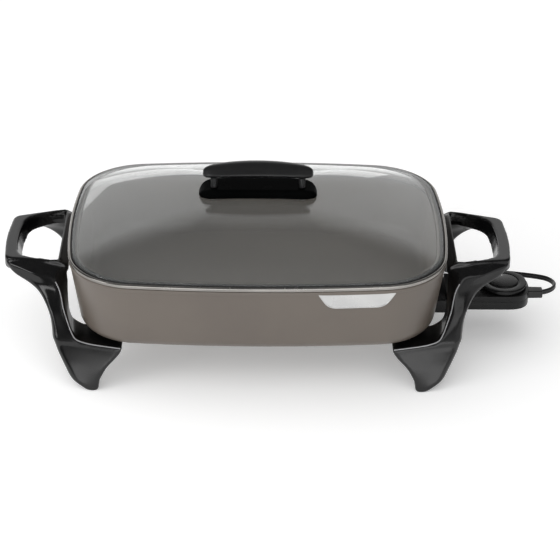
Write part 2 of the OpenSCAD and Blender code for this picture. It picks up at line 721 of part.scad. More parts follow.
probe_tail = 18;
module temperature_probe() {
    r = probe_d / 2;
    tip_x = guard_x - probe_in + 2 * seat_gap;
    color("#c4c4c2") translate([tip_x, 0, probe_z]) {
        translate([r, 0, 0]) sphere(d = probe_d);
        translate([r, 0, 0]) rod(probe_d, body_x + probe_tail - tip_x - r);
    }
}

module terminal_sleeves() {
    color("#c9a24a") translate([nose_x + 1, 0, pin_z]) both_sides(pin_pitch / 2)
        difference() {
            rod(sleeve_d, sleeve_len);
            translate([-cut, 0, 0]) rod(pin_d + 2 * slip, sleeve_len - 4 + cut);
        }
}

bracket_w = 18;
bracket_floor = control_floor + control_wall + slip;
module thermostat_bracket() {
    x0 = body_x + 6;
    color("#a9a9a5") difference() {
        union() {
            translate([x0, -bracket_w / 2, bracket_floor])
                cube([dial_x + 8 - x0, bracket_w, sheet_t]);
            for (x = [x0, dial_x + 8 - sheet_t]) translate([x, -bracket_w / 2, bracket_floor])
                cube([sheet_t, bracket_w, deck_z - control_wall - 1 - bracket_floor]);
        }
        translate([x0 - cut, 0, probe_z]) rod(probe_d + 2 * slip, sheet_t + 2 * cut);
        translate([dial_x, 0, bracket_floor - cut])
            cylinder(d = shaft_d + 2 * seat_gap, h = sheet_t + 2 * cut);
    }
}

blade_w = 4.4;
module contact_blades() {
    x0 = nose_x + 1 + sleeve_len;
    color("#c0763a") both_sides(pin_pitch / 2) {
        translate([x0, -blade_w / 2, pin_z - sheet_t / 2]) cube([dial_x - 4 - x0, blade_w, sheet_t]);
        translate([dial_x - 8, 0, pin_z + sheet_t / 2]) cylinder(d = 4, h = 1.2);
    }
}

module pilot_lens() {
    color("#d9772c") translate([lens_x, 0, deck_z - control_wall])
        rotate_extrude() polygon([[0, -1], [lens_d / 2 + 1, -1], [lens_d / 2 + 1, -slip],
            [lens_d / 2, -slip], [lens_d / 2, control_wall + 0.6], [lens_d / 2 - 1.4, control_wall + 1.3],
            [0, control_wall + 1.5]]);
}

// ---- dial ----
dial_gap = 0.6;
hub_d = 34;
module dial() {
    r = dial_d / 2;
    hub = hub_d / 2;
    color("#232325") translate([dial_x, 0, deck_z + dial_gap]) difference() {
        rotate_extrude() polygon([[0, 0], [r - 1.2, 0], [r, 1.2], [r, dial_t - 1.6], [r - 1.6, dial_t],
            [hub + 0.8, dial_t], [hub + 0.6, dial_t - 0.9], [hub - 0.6, dial_t - 0.9],
            [hub - 1, dial_t + 0.3], [hub - 2.4, dial_t + 0.8], [0, dial_t + 0.8]]);
        translate([0, 0, -cut]) cylinder(d = shaft_d + 2 * slip, h = cut + dial_t - 1.5);
        translate([-1, hub - 5.4, dial_t + 0.3]) cylinder(d = 2.4, h = 1);
    }
}

module dial_shaft() {
    foot_z = bracket_floor + 2 * slip;
    color("#b9b6ae") translate([dial_x, 0, foot_z]) {
        cylinder(d = shaft_d, h = deck_z + dial_gap + dial_t - 1.7 - foot_z);
        translate([0, 0, 6]) cylinder(d = 13, h = 1.6);
    }
}

// ---- cord, with what is on it ----
relief_w = 13;
relief_h = 8.6;
mouth = [7, 1.3];                        // length of the relief's flared mouth, and its extra width
relief_neck = control_wall + 0.6;
module strain_relief() {
    block_x = control_reach + slip;
    color("#19191a") difference() {
        union() {
            translate([block_x, 0, relief_z - relief_h / 2]) linear_extrude(relief_h)
                polygon([[0, -relief_w / 2], [relief_len - slip, 0.8 - relief_w / 2],
                    [relief_len - slip, relief_w / 2 - 0.8], [0, relief_w / 2]]);
            translate([control_reach - relief_neck - 2, -relief_w / 2 + 1, relief_z - relief_h / 2 + 1])
                cube([relief_neck + 2 + cut, relief_w - 2, relief_h - 2]);
            translate([control_reach - relief_neck - 2, -relief_w / 2 - 1, relief_z - relief_h / 2])
                cube([2 - slip, relief_w + 2, relief_h - 1]);
        }
        translate([control_reach - relief_neck - 2 - cut, 0, relief_z])
            rod(cord_d + 2 * slip, relief_len + relief_neck + 2 + 2 * cut);
        translate([control_reach + relief_len - mouth[0], -cord_d / 2 - slip, relief_z - cord_d / 2 - slip])
            cube([mouth[0] + cut, cord_d + 2 * slip + mouth[1], cord_d + 2 * slip]);
    }
}

cord_sides = 10;
coil_at = [150, 225];
coil_r = 31;                             // at the middle of the turns
coil_turns = 2;
// Where the cord's points are drawn for the control's end to be
cord_from = 300;
module at_cord() { translate([control_reach - cord_from, 0, 0]) children(); }
// Route from the control to the coil, and from the coil to the plug
lead = [[294, 0, relief_z], [303, 0, relief_z], [310, 0, relief_z],
    [317.6, 1.3, 47.2], [324.3, 5.2, 47], [329.2, 11.1, 46.5], [331.9, 18.3, 45.9],
    [331.9, 26.1, 45.2], [329.2, 33.3, 44.5], [324.3, 39.2, 43.9], [318.3, 42.8, 43.5],
    [309.5, 46.4, 43.1], [299, 50.6, 42.2], [284, 58, 40], [269, 68, 35], [256, 80, 28.5], [245, 94, 21],
    [235, 109, 13], [226, 123, 7.5], [218, 136, 4.4], [214, 149, 3], [212, 161, 3],
    [206, 174, 3], [196, 185, 3], [183, 192, 3], [169, 194, 3]];
tail = [[130.5, 194, 14], [120, 194, 12], [109, 194, 8.8], [100, 194, 5.8], [94, 194, 4.3], [88, 194, 4.2]];

// Tube through the points of a route
module tube(route, d) {
    n = len(route);
    loft([for (i = [0:n - 1]) let (
            way = route[min(i + 1, n - 1)] - route[max(i - 1, 0)],
            ahead = way / norm(way),
            side = [-ahead.y, ahead.x, 0] / norm([ahead.x, ahead.y]),
            up = cross(ahead, side))
        [for (k = [0:cord_sides - 1]) let (a = 360 * k / cord_sides)
            route[i] + d / 2 * (cos(a) * side + sin(a) * up)]]);
}

module cord() {
    color("#161617") at_cord() {
        tube(lead, cord_d);
        tube(tail, cord_d);
    }
}

module cord_coil() {
    color("#161617") at_cord() translate([coil_at.x, coil_at.y, 0]) rotate_extrude()
        translate([coil_r - cord_d / 2, 0]) square([cord_d, (coil_turns + 1) * cord_d]);
}

plug_at = tail[len(tail) - 1];
plug_len = 26;
plug_w = 22;
plug_h = 13;
blade = [16, 6.4, 1.5];
module plug_body() {
    w = plug_w / 2;
    neck = cord_d / 2 + 1.2;
    mid = plug_h / 2;
    color("#19191a") at_cord() loft([for (s = [[0, w, mid], [4, w, mid], [14, w * 0.9, mid * 0.95],
            [20, w * 0.6, mid * 0.8], [plug_len, neck, neck]])
        cross_ring(plug_at.x - plug_len + s[0] - slip, [[plug_at.y - s[1], 0], [plug_at.y + s[1], 0],
            [plug_at.y + s[1], 2 * s[2]], [plug_at.y - s[1], 2 * s[2]]], 3)]);
}

module plug_blades() {
    color("#c8b27a") at_cord()
        translate([plug_at.x - plug_len - 2 * slip - blade.x, plug_at.y, plug_h / 2])
        both_sides(6.35) translate([0, -blade[2] / 2, -blade.y / 2]) cube([blade.x, blade[2], blade.y]);
}

module place() { translate([body_shift, 0, 0]) children(); }

place() pan();
place() left_handle_frame();
place() right_handle_frame();
place() frame_screws();
place() heating_element();
place() terminal_pins();
place() pin_insulators();
place() probe_well();
place() terminal_guard();
place() guard_screws();
place() lid_glass();
place() lid_rim();
place() glass_seal();
place() knob_base();
place() knob_grip();
place() knob_screws();
place() knob_grommets();
place() control_top();
place() control_bottom();
place() temperature_probe();
place() terminal_sleeves();
place() thermostat_bracket();
place() contact_blades();
place() pilot_lens();
place() control_screws();
place() dial();
place() dial_shaft();
place() strain_relief();
place() cord();
place() cord_coil();
place() plug_body();
place() plug_blades();
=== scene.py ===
"""Looks of an electric skillet with a lift-off glass lid and a plug-in heat control."""

import itertools
import logging
from dataclasses import dataclass, field
from enum import Enum
from math import asin, atan2, cos, pi, radians, sin, sqrt, tan, tau
from typing import Any, Iterable, Optional, Sequence

import bmesh
import bpy
from mathutils import Matrix, Vector


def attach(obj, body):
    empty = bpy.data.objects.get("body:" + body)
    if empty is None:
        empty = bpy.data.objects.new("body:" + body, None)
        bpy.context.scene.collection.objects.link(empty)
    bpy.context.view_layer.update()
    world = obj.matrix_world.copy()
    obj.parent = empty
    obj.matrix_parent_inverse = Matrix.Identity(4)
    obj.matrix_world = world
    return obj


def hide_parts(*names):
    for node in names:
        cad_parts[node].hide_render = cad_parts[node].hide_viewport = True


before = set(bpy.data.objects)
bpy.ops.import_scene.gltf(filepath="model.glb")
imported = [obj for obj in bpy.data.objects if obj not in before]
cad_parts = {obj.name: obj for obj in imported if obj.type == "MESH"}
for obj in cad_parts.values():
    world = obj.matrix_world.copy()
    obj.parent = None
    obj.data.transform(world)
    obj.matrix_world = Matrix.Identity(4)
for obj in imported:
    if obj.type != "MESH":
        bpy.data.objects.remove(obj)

log = logging.getLogger("skillet")
Mesh = bmesh.types.BMesh
Object = bpy.types.Object
Ring = list[Vector]
Point = tuple[float, float, float]
Pair = tuple[float, float]
Colour = tuple[float, float, float, float]
Row = tuple[float, ...]

MM = 0.001
BODY_SHIFT = -20.5  # the pan's centre stands this far from the row frame's origin, in millimetres
STAND = 52.5        # underside of the pan
LIP = 128.5         # top of the pan's lip
RIM = 131.7         # middle of the lid's bead
SHELF = 49.0        # top of the frames' shelves
SCREW_AT = (160.0, 95.0)  # where the frame screws enter the pan, from its centre


class Body(Enum):
    """The moving bodies of the part."""

    SKILLET = "skillet"
    LID = "lid"
    CONTROL = "heat_control"
    DIAL = "dial"


class Slot(Enum):
    """Material slot names, one given to fit for each new piece; fit does not use them."""

    PAN = "pan_coating"
    FRAME = "phenolic"
    KNOB = "knob_black"
    CONTROL = "control_black"
    CORD = "cord_black"
    SEAL = "seal"
    STEEL = "steel"
    GLASS = "glass"


# ---------------------------------------------------------------- shapes


def place(x: float, y: float, z: float) -> Vector:
    """Point in the row frame, in metres, of a point in millimetres from the pan's centre."""
    return Vector(((x + BODY_SHIFT) * MM, y * MM, z * MM))


def on_circle(angle: float, radius: float = 1.0) -> Vector:
    """Point at an angle on a circle round the origin."""
    return Vector((cos(angle), sin(angle))) * radius


def rounded(corners: Sequence[Pair], radii: Sequence[float], steps: int) -> list[Pair]:
    """Rounds the corners of a polygon.

    Args:
        corners: The polygon's corners in order.
        radii: How far before each corner its curve starts.
        steps: Segments of each curve.

    Returns:
        The points of the rounded polygon.
    """
    points: list[Pair] = []
    count = len(corners)
    for i, corner in enumerate(corners):
        here = Vector(corner)
        before, after = Vector(corners[i - 1]), Vector(corners[(i + 1) % count])
        start = here + (before - here) * min(0.46, radii[i] / (before - here).length)
        end = here + (after - here) * min(0.46, radii[i] / (after - here).length)
        for k in range(steps + 1):
            t = k / steps
            spot = start * (1 - t) ** 2 + here * (2 * t * (1 - t)) + end * t * t
            points.append((spot.x, spot.y))
    return points


def through(rows: Sequence[Sequence[float]], steps: int) -> list[list[float]]:
    """Smooth curve through rows of numbers.

    Args:
        rows: The rows that the curve passes.
        steps: Steps from one row to the next.

    Returns:
        The rows along the curve, the given ones among them.
    """
    out: list[list[float]] = []
    last = len(rows) - 1
    for i in range(last):
        four = (rows[max(i - 1, 0)], rows[i], rows[i + 1], rows[min(i + 2, last)])
        for k in range(steps):
            t = k / steps
            out.append([0.5 * (2 * b + (c - a) * t + (2 * a - 5 * b + 4 * c - d) * t * t
                               + (3 * b - a - 3 * c + d) * t ** 3) for a, b, c, d in zip(*four)])
    out.append(list(rows[-1]))
    return out


def round_edges(bm: Mesh, edges: list[Any], width: float, segments: int) -> None:
    """Rounds edges of a mesh by a width in metres."""
    bmesh.ops.bevel(bm, geom=edges, offset=width, segments=segments, profile=0.5,
                    affect="EDGES", material=-1, clamp_overlap=True)


def grow(bm: Mesh, row: list[Any], edges: list[Any], ring: Ring) -> tuple[list[Any], list[Any]]:
    """Extrudes a ring of edges and moves the new ring to its place.

    Args:
        bm: The mesh that holds the ring.
        row: The ring's vertices in order.
        edges: The ring's edges.
        ring: Where the new ring's vertices go.

    Returns:
        The new ring's vertices in order, and its edges.
    """
    made = bmesh.ops.extrude_edge_only(bm, edges=edges)["geom"]
    fresh = {v for v in made if isinstance(v, bmesh.types.BMVert)}
    new_row = []
    for old, spot in zip(row, ring):
        partner = next(e.other_vert(old) for e in old.link_edges if e.other_vert(old) in fresh)
        partner.co = spot
        new_row.append(partner)
    new_edges = [e for e in made if isinstance(e, bmesh.types.BMEdge) and all(v in fresh for v in e.verts)]
    return new_row, new_edges


def loft(bm: Mesh, rings: Sequence[Ring], closed: bool = False,
         bevels: Optional[dict[int, tuple[float, int]]] = None) -> None:
    """Skin through a stack of rings, added to a mesh.

    Args:
        bm: The mesh that gets the skin.
        rings: The rings in order, each with as many points.
        closed: Whether the last ring joins the first one; otherwise both get a face.
        bevels: Width in metres and segments of the rounding of a ring's edge, by the ring's number.
    """
    first = bmesh.ops.create_circle(bm, cap_ends=False, segments=len(rings[0]), radius=1.0)["verts"]
    for vert, spot in zip(first, rings[0]):
        vert.co = spot
    inside = set(first)
    edges = [e for e in {e for v in first for e in v.link_edges} if all(v in inside for v in e.verts)]
    row = list(first)
    ring_edges = [edges]
    for ring in [*rings[1:], *rings[:1 if closed else 0]]:
        row, edges = grow(bm, row, edges, ring)
        ring_edges.append(edges)
    if closed:
        bmesh.ops.remove_doubles(bm, verts=row + list(first), dist=1e-6)
    else:
        for end in (ring_edges[0], ring_edges[-1]):
            bmesh.ops.edgeloop_fill(bm, edges=end)
    for number, (width, segments) in (bevels or {}).items():
        live = [e for e in ring_edges[number] if e.is_valid]
        round_edges(bm, live, width, segments)


def sweep(spots: Sequence[Vector], section: Sequence[Pair]) -> list[Ring]:
    """A section repeated along a centre line, upright and square to it.

    Args:
        spots: The centre line's points in the row frame.
        section: Outline of the section, sideways and upwards, in millimetres.

    Returns:
        One ring for each point of the centre line.
    """
    rings = []
    for i, spot in enumerate(spots):
        ahead = (spots[min(i + 1, len(spots) - 1)] - spots[max(i - 1, 0)]).normalized()
        side = Vector((-ahead.y, ahead.x, 0.0)).normalized()
        rise = ahead.cross(side)
        rings.append([spot + (side * x + rise * z) * MM for x, z in section])
    return rings


def add_rod(bm: Mesh, start: Vector, end: Vector, radius: float) -> None:
    """Round rod between two points, added to a mesh.

    Args:
        bm: The mesh that gets the rod.
        start: Middle of one end, in metres.
        end: Middle of the other end.
        radius: The radius in millimetres.
    """
    way = end - start
    turn = way.to_track_quat("Z", "Y").to_matrix().to_4x4()
    made = bmesh.ops.create_cone(bm, cap_ends=True, segments=48, radius1=radius * MM, radius2=radius * MM,
                                 depth=way.length)
    bmesh.ops.transform(bm, matrix=Matrix.Translation((start + end) / 2) @ turn, verts=made["verts"])


def add_box(bm: Mesh, low: Vector, high: Vector, round_by: float) -> None:
    """Box with rounded edges, added to a mesh.

    Args:
        bm: The mesh that gets the box.
        low: Its lowest corner, in metres.
        high: Its highest corner.
        round_by: Width of the rounding in metres.
    """
    made = bmesh.ops.create_cube(bm, size=1.0)["verts"]
    bmesh.ops.scale(bm, vec=high - low, verts=made)
    bmesh.ops.translate(bm, vec=(low + high) / 2, verts=made)
    edges = list({e for v in made for e in v.link_edges})
    round_edges(bm, edges, round_by, 3)


def turned(bm: Mesh, centre: Vector, profile: Sequence[Pair], steps: int = 128) -> None:
    """Turned shape round an upright axis, added to a mesh.

    Args:
        bm: The mesh that gets the shape.
        centre: Point on the axis that the profile's heights count from, in metres.
        profile: Radius and height of each corner, in millimetres, from the axis back to the axis.
        steps: Steps round the axis.
    """
    verts = [bm.verts.new(centre + Vector((r * MM, 0.0, z * MM))) for r, z in profile]
    edges = [bm.edges.new(pair) for pair in zip(verts, verts[1:])]
    bmesh.ops.spin(bm, geom=verts + edges, cent=centre, axis=(0, 0, 1), angle=tau, steps=steps, use_merge=True)
    bmesh.ops.remove_doubles(bm, verts=bm.verts, dist=2e-6)


def slab(half: float, low: float, high: float) -> list[Pair]:
    """Corners of a rectangle whose middle is at nought sideways."""
    return [(-half, low), (half, low), (half, high), (-half, high)]


def show(name: str, data: Any, matrix: Optional[Matrix] = None) -> Object:
    """Puts a mesh, lamp or camera into the scene.

    Args:
        name: The new object's name.
        data: The mesh, lamp or camera.
        matrix: Where it stands, if not at the origin.

    Returns:
        The new object.
    """
    obj = bpy.data.objects.new(name, data)
    if matrix is not None:
        obj.matrix_world = matrix
    bpy.context.scene.collection.objects.link(obj)
    return obj


def finish_mesh(bm: Mesh, name: str, sharp: float = 40.0) -> Object:
    """Turns a bmesh into an object at the origin with smooth shading up to an angle.

    Args:
        bm: The mesh, which is freed.
        name: The piece's name.
        sharp: Edges over this angle in degrees stay sharp.

    Returns:
        The new object.
    """
    bmesh.ops.recalc_face_normals(bm, faces=bm.faces)
    mesh = bpy.data.meshes.new(name)
    bm.to_mesh(mesh)
    bm.free()
    mesh.shade_smooth()
    mesh.set_sharp_from_angle(angle=radians(sharp))
    return show(name, mesh)


def lofted(name: str, rings: Sequence[Ring], sharp: float = 40.0, **how: Any) -> Object:
    """One loft as an object.

    Args:
        name: The object's name.
        rings: The rings in order.
        sharp: Edges over this angle in degrees stay sharp.
        how: The other settings of loft.

    Returns:
        The new object.
    """
    bm = bmesh.new()
    loft(bm, rings, **how)
    return finish_mesh(bm, name, sharp)


def bake(obj: Object) -> None:
    """Replaces a mesh by what the modifiers make of it.

    Args:
        obj: The object, which loses its modifiers.
    """
    graph = bpy.context.evaluated_depsgraph_get()
    made = bpy.data.meshes.new_from_object(obj.evaluated_get(graph))
    obj.modifiers.clear()
    old, obj.data = obj.data, made
    bpy.data.meshes.remove(old)


def moulded(bm: Mesh, name: str, grain: float, rounds: int,
            cutter: Optional[Object] = None) -> Object:
    """One skin over overlapping closed shapes, with small fillets where they meet.

    Args:
        bm: The shapes, which are freed.
        name: The piece's name.
        grain: Size of the skin's cells in metres.
        rounds: How often the skin is smoothed.
        cutter: A mesh that is cut away first, and removed.

    Returns:
        The new object.
    """
    obj = finish_mesh(bm, name)
    if cutter is not None:
        cut = obj.modifiers.new("cut", "BOOLEAN")
        cut.object, cut.operation, cut.solver = cutter, "DIFFERENCE", "EXACT"
        cut.use_self = True
    skin = obj.modifiers.new("skin", "REMESH")
    skin.mode, skin.voxel_size, skin.use_smooth_shade = "VOXEL", grain, True
    bake(obj)
    if cutter is not None:
        bpy.data.objects.remove(cutter)
    work = bmesh.new()
    work.from_mesh(obj.data)
    for _ in range(rounds):
        bmesh.ops.smooth_vert(work, verts=work.verts, factor=0.5,
                              use_axis_x=True, use_axis_y=True, use_axis_z=True)
    work.to_mesh(obj.data)
    work.free()
    obj.data.shade_smooth()
    return obj


def softened(node: str, name: str, width: float, angle: float = 30.0) -> Object:
    """Copy of a CAD node with rounded edges.

    Args:
        node: The CAD node that is copied.
        name: The new piece's name.
        width: Width of the rounding in metres.
        angle: Edges over this angle in degrees are rounded.

    Returns:
        The new object, which replaces the node.
    """
    bm = bmesh.new()
    bm.from_mesh(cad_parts[node].data)
    bmesh.ops.remove_doubles(bm, verts=bm.verts, dist=1e-5)
    bmesh.ops.dissolve_limit(bm, angle_limit=radians(1.5), verts=bm.verts, edges=bm.edges)
    mesh = bpy.data.meshes.new(name)
    bm.to_mesh(mesh)
    bm.free()
    obj = show(name, mesh)
    bevel = obj.modifiers.new("edge", "BEVEL")
    bevel.width, bevel.segments, bevel.limit_method = width, 3, "ANGLE"
    bevel.angle_limit, bevel.harden_normals = radians(angle), False
    bake(obj)
    obj.data.shade_smooth()
    obj.data.set_sharp_from_angle(angle=radians(38))
    return obj


def fit(obj: Object, body: Body, finish: "Surface", slot: Slot, *nodes: str) -> Object:
    """Puts a finished piece on its body, with its material, and logs it.

    Args:
        obj: The piece.
        body: The body that it rides on.
        finish: Its finish.
        slot: Not used.
        nodes: The CAD nodes that it stands for.

    Returns:
        The same piece.
    """
    obj.data.materials.clear()
    obj.data.materials.append(finish.material())
    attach(obj, body.value)
    if nodes:
        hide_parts(*nodes)
    log.info("%s: %d faces on %s", obj.name, len(obj.data.polygons), body.value)
    return obj


# ---------------------------------------------------------------- finishes


class Effect(Enum):
    """The node groups that several materials use."""

    DRIFT = "tone drift"
    SMUDGE = "smudge"
    SKIN = "mould skin"
    BRUSHED = "brushed lines"
    DUST = "settled dust"


@dataclass
class Wiring:
    """Adds and joins nodes in a tree."""

    tree: Any

    @classmethod
    def on(cls, block: Any) -> "Wiring":
        """Clears the nodes of a material or a world.

        Args:
            block: The material or world.

        Returns:
            The wiring of its tree.
        """
        block.use_nodes = True
        block.node_tree.nodes.clear()
        return cls(block.node_tree)

    def feed(self, socket: Any, value: Any) -> None:
        """Joins another socket to an input, or writes a value on it.

        Args:
            socket: The input.
            value: The other socket, or the value.
        """
        if isinstance(value, bpy.types.NodeSocket):
            self.tree.links.new(value, socket)
        else:
            socket.default_value = value

    def node(self, kind: str, inputs: Optional[dict[Any, Any]] = None, **settings: Any) -> Any:
        """Adds a node.

        Args:
            kind: The node's type.
            inputs: A socket or a value for each input, by the input's name or number.
            settings: The node's own settings.

        Returns:
            The node.
        """
        made = self.tree.nodes.new(kind)
        for key, value in settings.items():
            setattr(made, key, value)
        for key, value in (inputs or {}).items():
            self.feed(made.inputs[key], value)
        return made

    def noise(self, vector: Any, scale: Any, detail: float = 3.0, rough: float = 0.55) -> Any:
        """Value of a noise over a vector, at a scale that is a number or a socket."""
        return self.node("ShaderNodeTexNoise", {
            "Vector": vector, "Scale": scale, "Detail": detail, "Roughness": rough}).outputs["Fac"]

    def ramp(self, value: Any, low: float, high: float, to: tuple[Any, Any] = (0.0, 1.0)) -> Any:
        """Maps a value from one range to another, smoothly and clamped.

        Args:
            value: A socket with the value.
            low: Where the first range starts.
            high: Where it ends.
            to: The other range's ends, each a number or a socket.

        Returns:
            The socket with the result.
        """
        return self.node("ShaderNodeMapRange", {
            "Value": value, "From Min": low, "From Max": high, "To Min": to[0], "To Max": to[1]},
            interpolation_type="SMOOTHSTEP").outputs["Result"]

    def calc(self, a: Any, b: Any, operation: str = "ADD") -> Any:
        """Joins two values by a sum, unless another operation is named."""
        return self.node("ShaderNodeMath", {0: a, 1: b}, operation=operation).outputs[0]

    def mix(self, factor: Any, a: Any, b: Any) -> Any:
        """Mixes two colours, each a socket or a colour."""
        return self.node("ShaderNodeMix", {0: factor, 6: a, 7: b}, data_type="RGBA").outputs[2]


@dataclass
class EffectRack:
    """Builds each shared effect once and puts it into materials."""

    built: dict[Effect, Any] = field(default_factory=dict)

    def start(self, effect: Effect, outputs: Sequence[str], **inputs: Any) -> tuple[Wiring, Any, Any]:
        """Opens a new node group.

        Args:
            effect: The effect that the group makes.
            outputs: The outputs' names; Colour is a colour and the others are numbers.
            inputs: First value of each input: a number, a colour, or None for a vector.

        Returns:
            The wiring of the group, its input node's outputs and its output node's inputs.
        """
        group = bpy.data.node_groups.new(effect.value, "ShaderNodeTree")
        for name, value in inputs.items():
            kind = {float: "Float", tuple: "Color"}.get(type(value), "Vector")
            socket = group.interface.new_socket(name=name, in_out="INPUT", socket_type="NodeSocket" + kind)
            if value is not None:
                socket.default_value = value
        for name in outputs:
            kind = "Color" if name == "Colour" else "Float"
            group.interface.new_socket(name=name, in_out="OUTPUT", socket_type="NodeSocket" + kind)
        wires = Wiring(group)
        self.built[effect] = group
        return wires, wires.node("NodeGroupInput").outputs, wires.node("NodeGroupOutput").inputs

    def use(self, effect: Effect, wires: Wiring, vector: Any, **values: Any) -> Any:
        """Places a group in a material.

        Args:
            effect: The effect.
            wires: The material's wiring.
            vector: The socket that gives the place on the piece.
            values: A number, colour or socket for each input.

        Returns:
            The group node's first output.
        """
        if effect not in self.built:
            getattr(self, effect.name.lower())()
        inputs = {"Vector": vector, **values}
        return wires.node("ShaderNodeGroup", inputs, node_tree=self.built[effect]).outputs[0]

    def drift(self) -> None:
        """Colour that drifts slowly between a base and a second tone, with fine speckle."""
        wires, given, out = self.start(Effect.DRIFT, ["Colour"], Vector=None, Scale=12.0, Base=(0.1, 0.1, 0.1, 1.0),
                                       Tone=(0.2, 0.2, 0.2, 1.0), Speckle=0.0)
        slow = wires.ramp(wires.noise(given["Vector"], given["Scale"], 4.0), 0.32, 0.7)
        fine = wires.ramp(wires.noise(given["Vector"], 2600.0, 1.0), 0.4, 0.62, (0.0, given["Speckle"]))
        wires.feed(out[0], wires.mix(wires.calc(slow, fine), given["Base"], given["Tone"]))

    def smudge(self) -> None:
        """Roughness that varies in clouds and faint wiped streaks."""
        wires, given, out = self.start(Effect.SMUDGE, ["Roughness"], Vector=None, Scale=20.0, Low=0.2, High=0.35)
        stretch = wires.node("ShaderNodeMapping", {
            "Vector": given["Vector"], "Scale": (1.0, 0.22, 2.2), "Rotation": (0.3, 0.2, 0.7)})
        clouds = wires.noise(given["Vector"], given["Scale"], 5.0, 0.6)
        streaks = wires.noise(stretch.outputs[0], given["Scale"], 6.0, 0.7)
        both = wires.calc(wires.calc(clouds, streaks), 0.5, "MULTIPLY")
        wires.feed(out[0], wires.ramp(both, 0.34, 0.68, (given["Low"], given["High"])))

    def skin(self) -> None:
        """Height of a moulded or sprayed skin: fine orange peel with a few pits."""
        wires, given, out = self.start(Effect.SKIN, ["Height"], Vector=None, Scale=900.0, Pits=0.3)
        peel = wires.noise(given["Vector"], given["Scale"], 2.0, 0.5)
        cells = wires.node("ShaderNodeTexVoronoi", {"Vector": given["Vector"], "Scale": given["Scale"]}, feature="F1")
        pits = wires.ramp(cells.outputs["Distance"], 0.05, 0.22, (-1.0, 0.0))
        wires.feed(out[0], wires.calc(peel, wires.calc(pits, given["Pits"], "MULTIPLY")))

    def brushed(self) -> None:
        """Height of fine polishing lines along the piece's X axis."""
        wires, given, out = self.start(Effect.BRUSHED, ["Height"], Vector=None, Scale=60.0)
        stretch = wires.node("ShaderNodeMapping", {"Vector": given["Vector"], "Scale": (0.06, 6.0, 16.0)})
        wires.feed(out[0], wires.noise(stretch.outputs[0], given["Scale"], 6.0, 0.7))

    def dust(self) -> None:
        """Mask of faint dust on faces that look up."""
        wires, given, out = self.start(Effect.DUST, ["Mask"], Vector=None, Facing=None, Amount=0.1)
        split = wires.node("ShaderNodeSeparateXYZ", {0: given["Facing"]})
        up = wires.ramp(split.outputs["Z"], 0.35, 1.0)
        spots = wires.ramp(wires.noise(given["Vector"], 140.0, 8.0, 0.75), 0.42, 0.7)
        wires.feed(out[0], wires.calc(wires.calc(up, spots, "MULTIPLY"), given["Amount"], "MULTIPLY"))


RACK = EffectRack()


def tone(red: float, green: float, blue: float) -> Colour:
    """Linear colour of an sRGB colour whose channels run from 0 to 255."""
    linear = [((c / 255 + 0.055) / 1.055) ** 2.4 if c > 10 else c / 255 / 12.92 for c in (red, green, blue)]
    return (linear[0], linear[1], linear[2], 1.0)


DUST_TONE = tone(178, 174, 168)


@dataclass(frozen=True)
class Surface:
    """A named material that is built when it is first used."""

    name: str

    def shade(self, wires: Wiring) -> Any:
        """Wires the surface and returns its shader's output."""
        raise NotImplementedError

    def material(self) -> bpy.types.Material:
        """Builds the material on first use.

        Returns:
            The material.
        """
        made = bpy.data.materials.get(self.name)
        if made is None:
            made = bpy.data.materials.new(self.name)
            wires = Wiring.on(made)
            wires.node("ShaderNodeOutputMaterial", {"Surface": self.shade(wires)})
        return made


@dataclass(frozen=True)
class Finish(Surface):
    """An opaque finish that a piece or a CAD node can have."""

    base: Colour
    second: Colour
    rough: Pair = (0.2, 0.35)
    metal: float = 0.0
    coat: float = 0.0
    coat_rough: float = 0.08
    drift_scale: float = 14.0
    smudge_scale: float = 22.0
    speckle: float = 0.0
    skin_scale: float = 900.0
    skin_depth: float = 0.00002
    pits: float = 0.2
    brushed: bool = False
    dust: float = 0.0
    gloss: float = 0.5
    ior: float = 1.5

    def shade(self, wires: Wiring) -> Any:
        """Wires colour, roughness and relief.

        Args:
            wires: The material's wiring.

        Returns:
            The shader's output.
        """
        spot = wires.node("ShaderNodeTexCoord").outputs
        where = spot["Object"]
        colour = RACK.use(Effect.DRIFT, wires, where, Scale=self.drift_scale, Base=self.base, Tone=self.second,
                          Speckle=self.speckle)
        rough = RACK.use(Effect.SMUDGE, wires, where, Scale=self.smudge_scale, Low=self.rough[0], High=self.rough[1])
        if self.dust:
            mask = RACK.use(Effect.DUST, wires, where, Facing=spot["Normal"], Amount=self.dust)
            colour = wires.mix(mask, colour, DUST_TONE)
            rough = wires.calc(rough, mask)
        if self.brushed:
            height = RACK.use(Effect.BRUSHED, wires, where, Scale=60.0)
        else:
            height = RACK.use(Effect.SKIN, wires, where, Scale=self.skin_scale, Pits=self.pits)
        bump = wires.node("ShaderNodeBump", {"Strength": 1.0, "Distance": self.skin_depth, "Height": height})
        return wires.node("ShaderNodeBsdfPrincipled", {
            "Base Color": colour, "Roughness": rough, "Metallic": self.metal, "Specular IOR Level": self.gloss,
            "IOR": self.ior, "Coat Weight": self.coat, "Coat Roughness": self.coat_rough,
            "Normal": bump.outputs["Normal"]}).outputs[0]


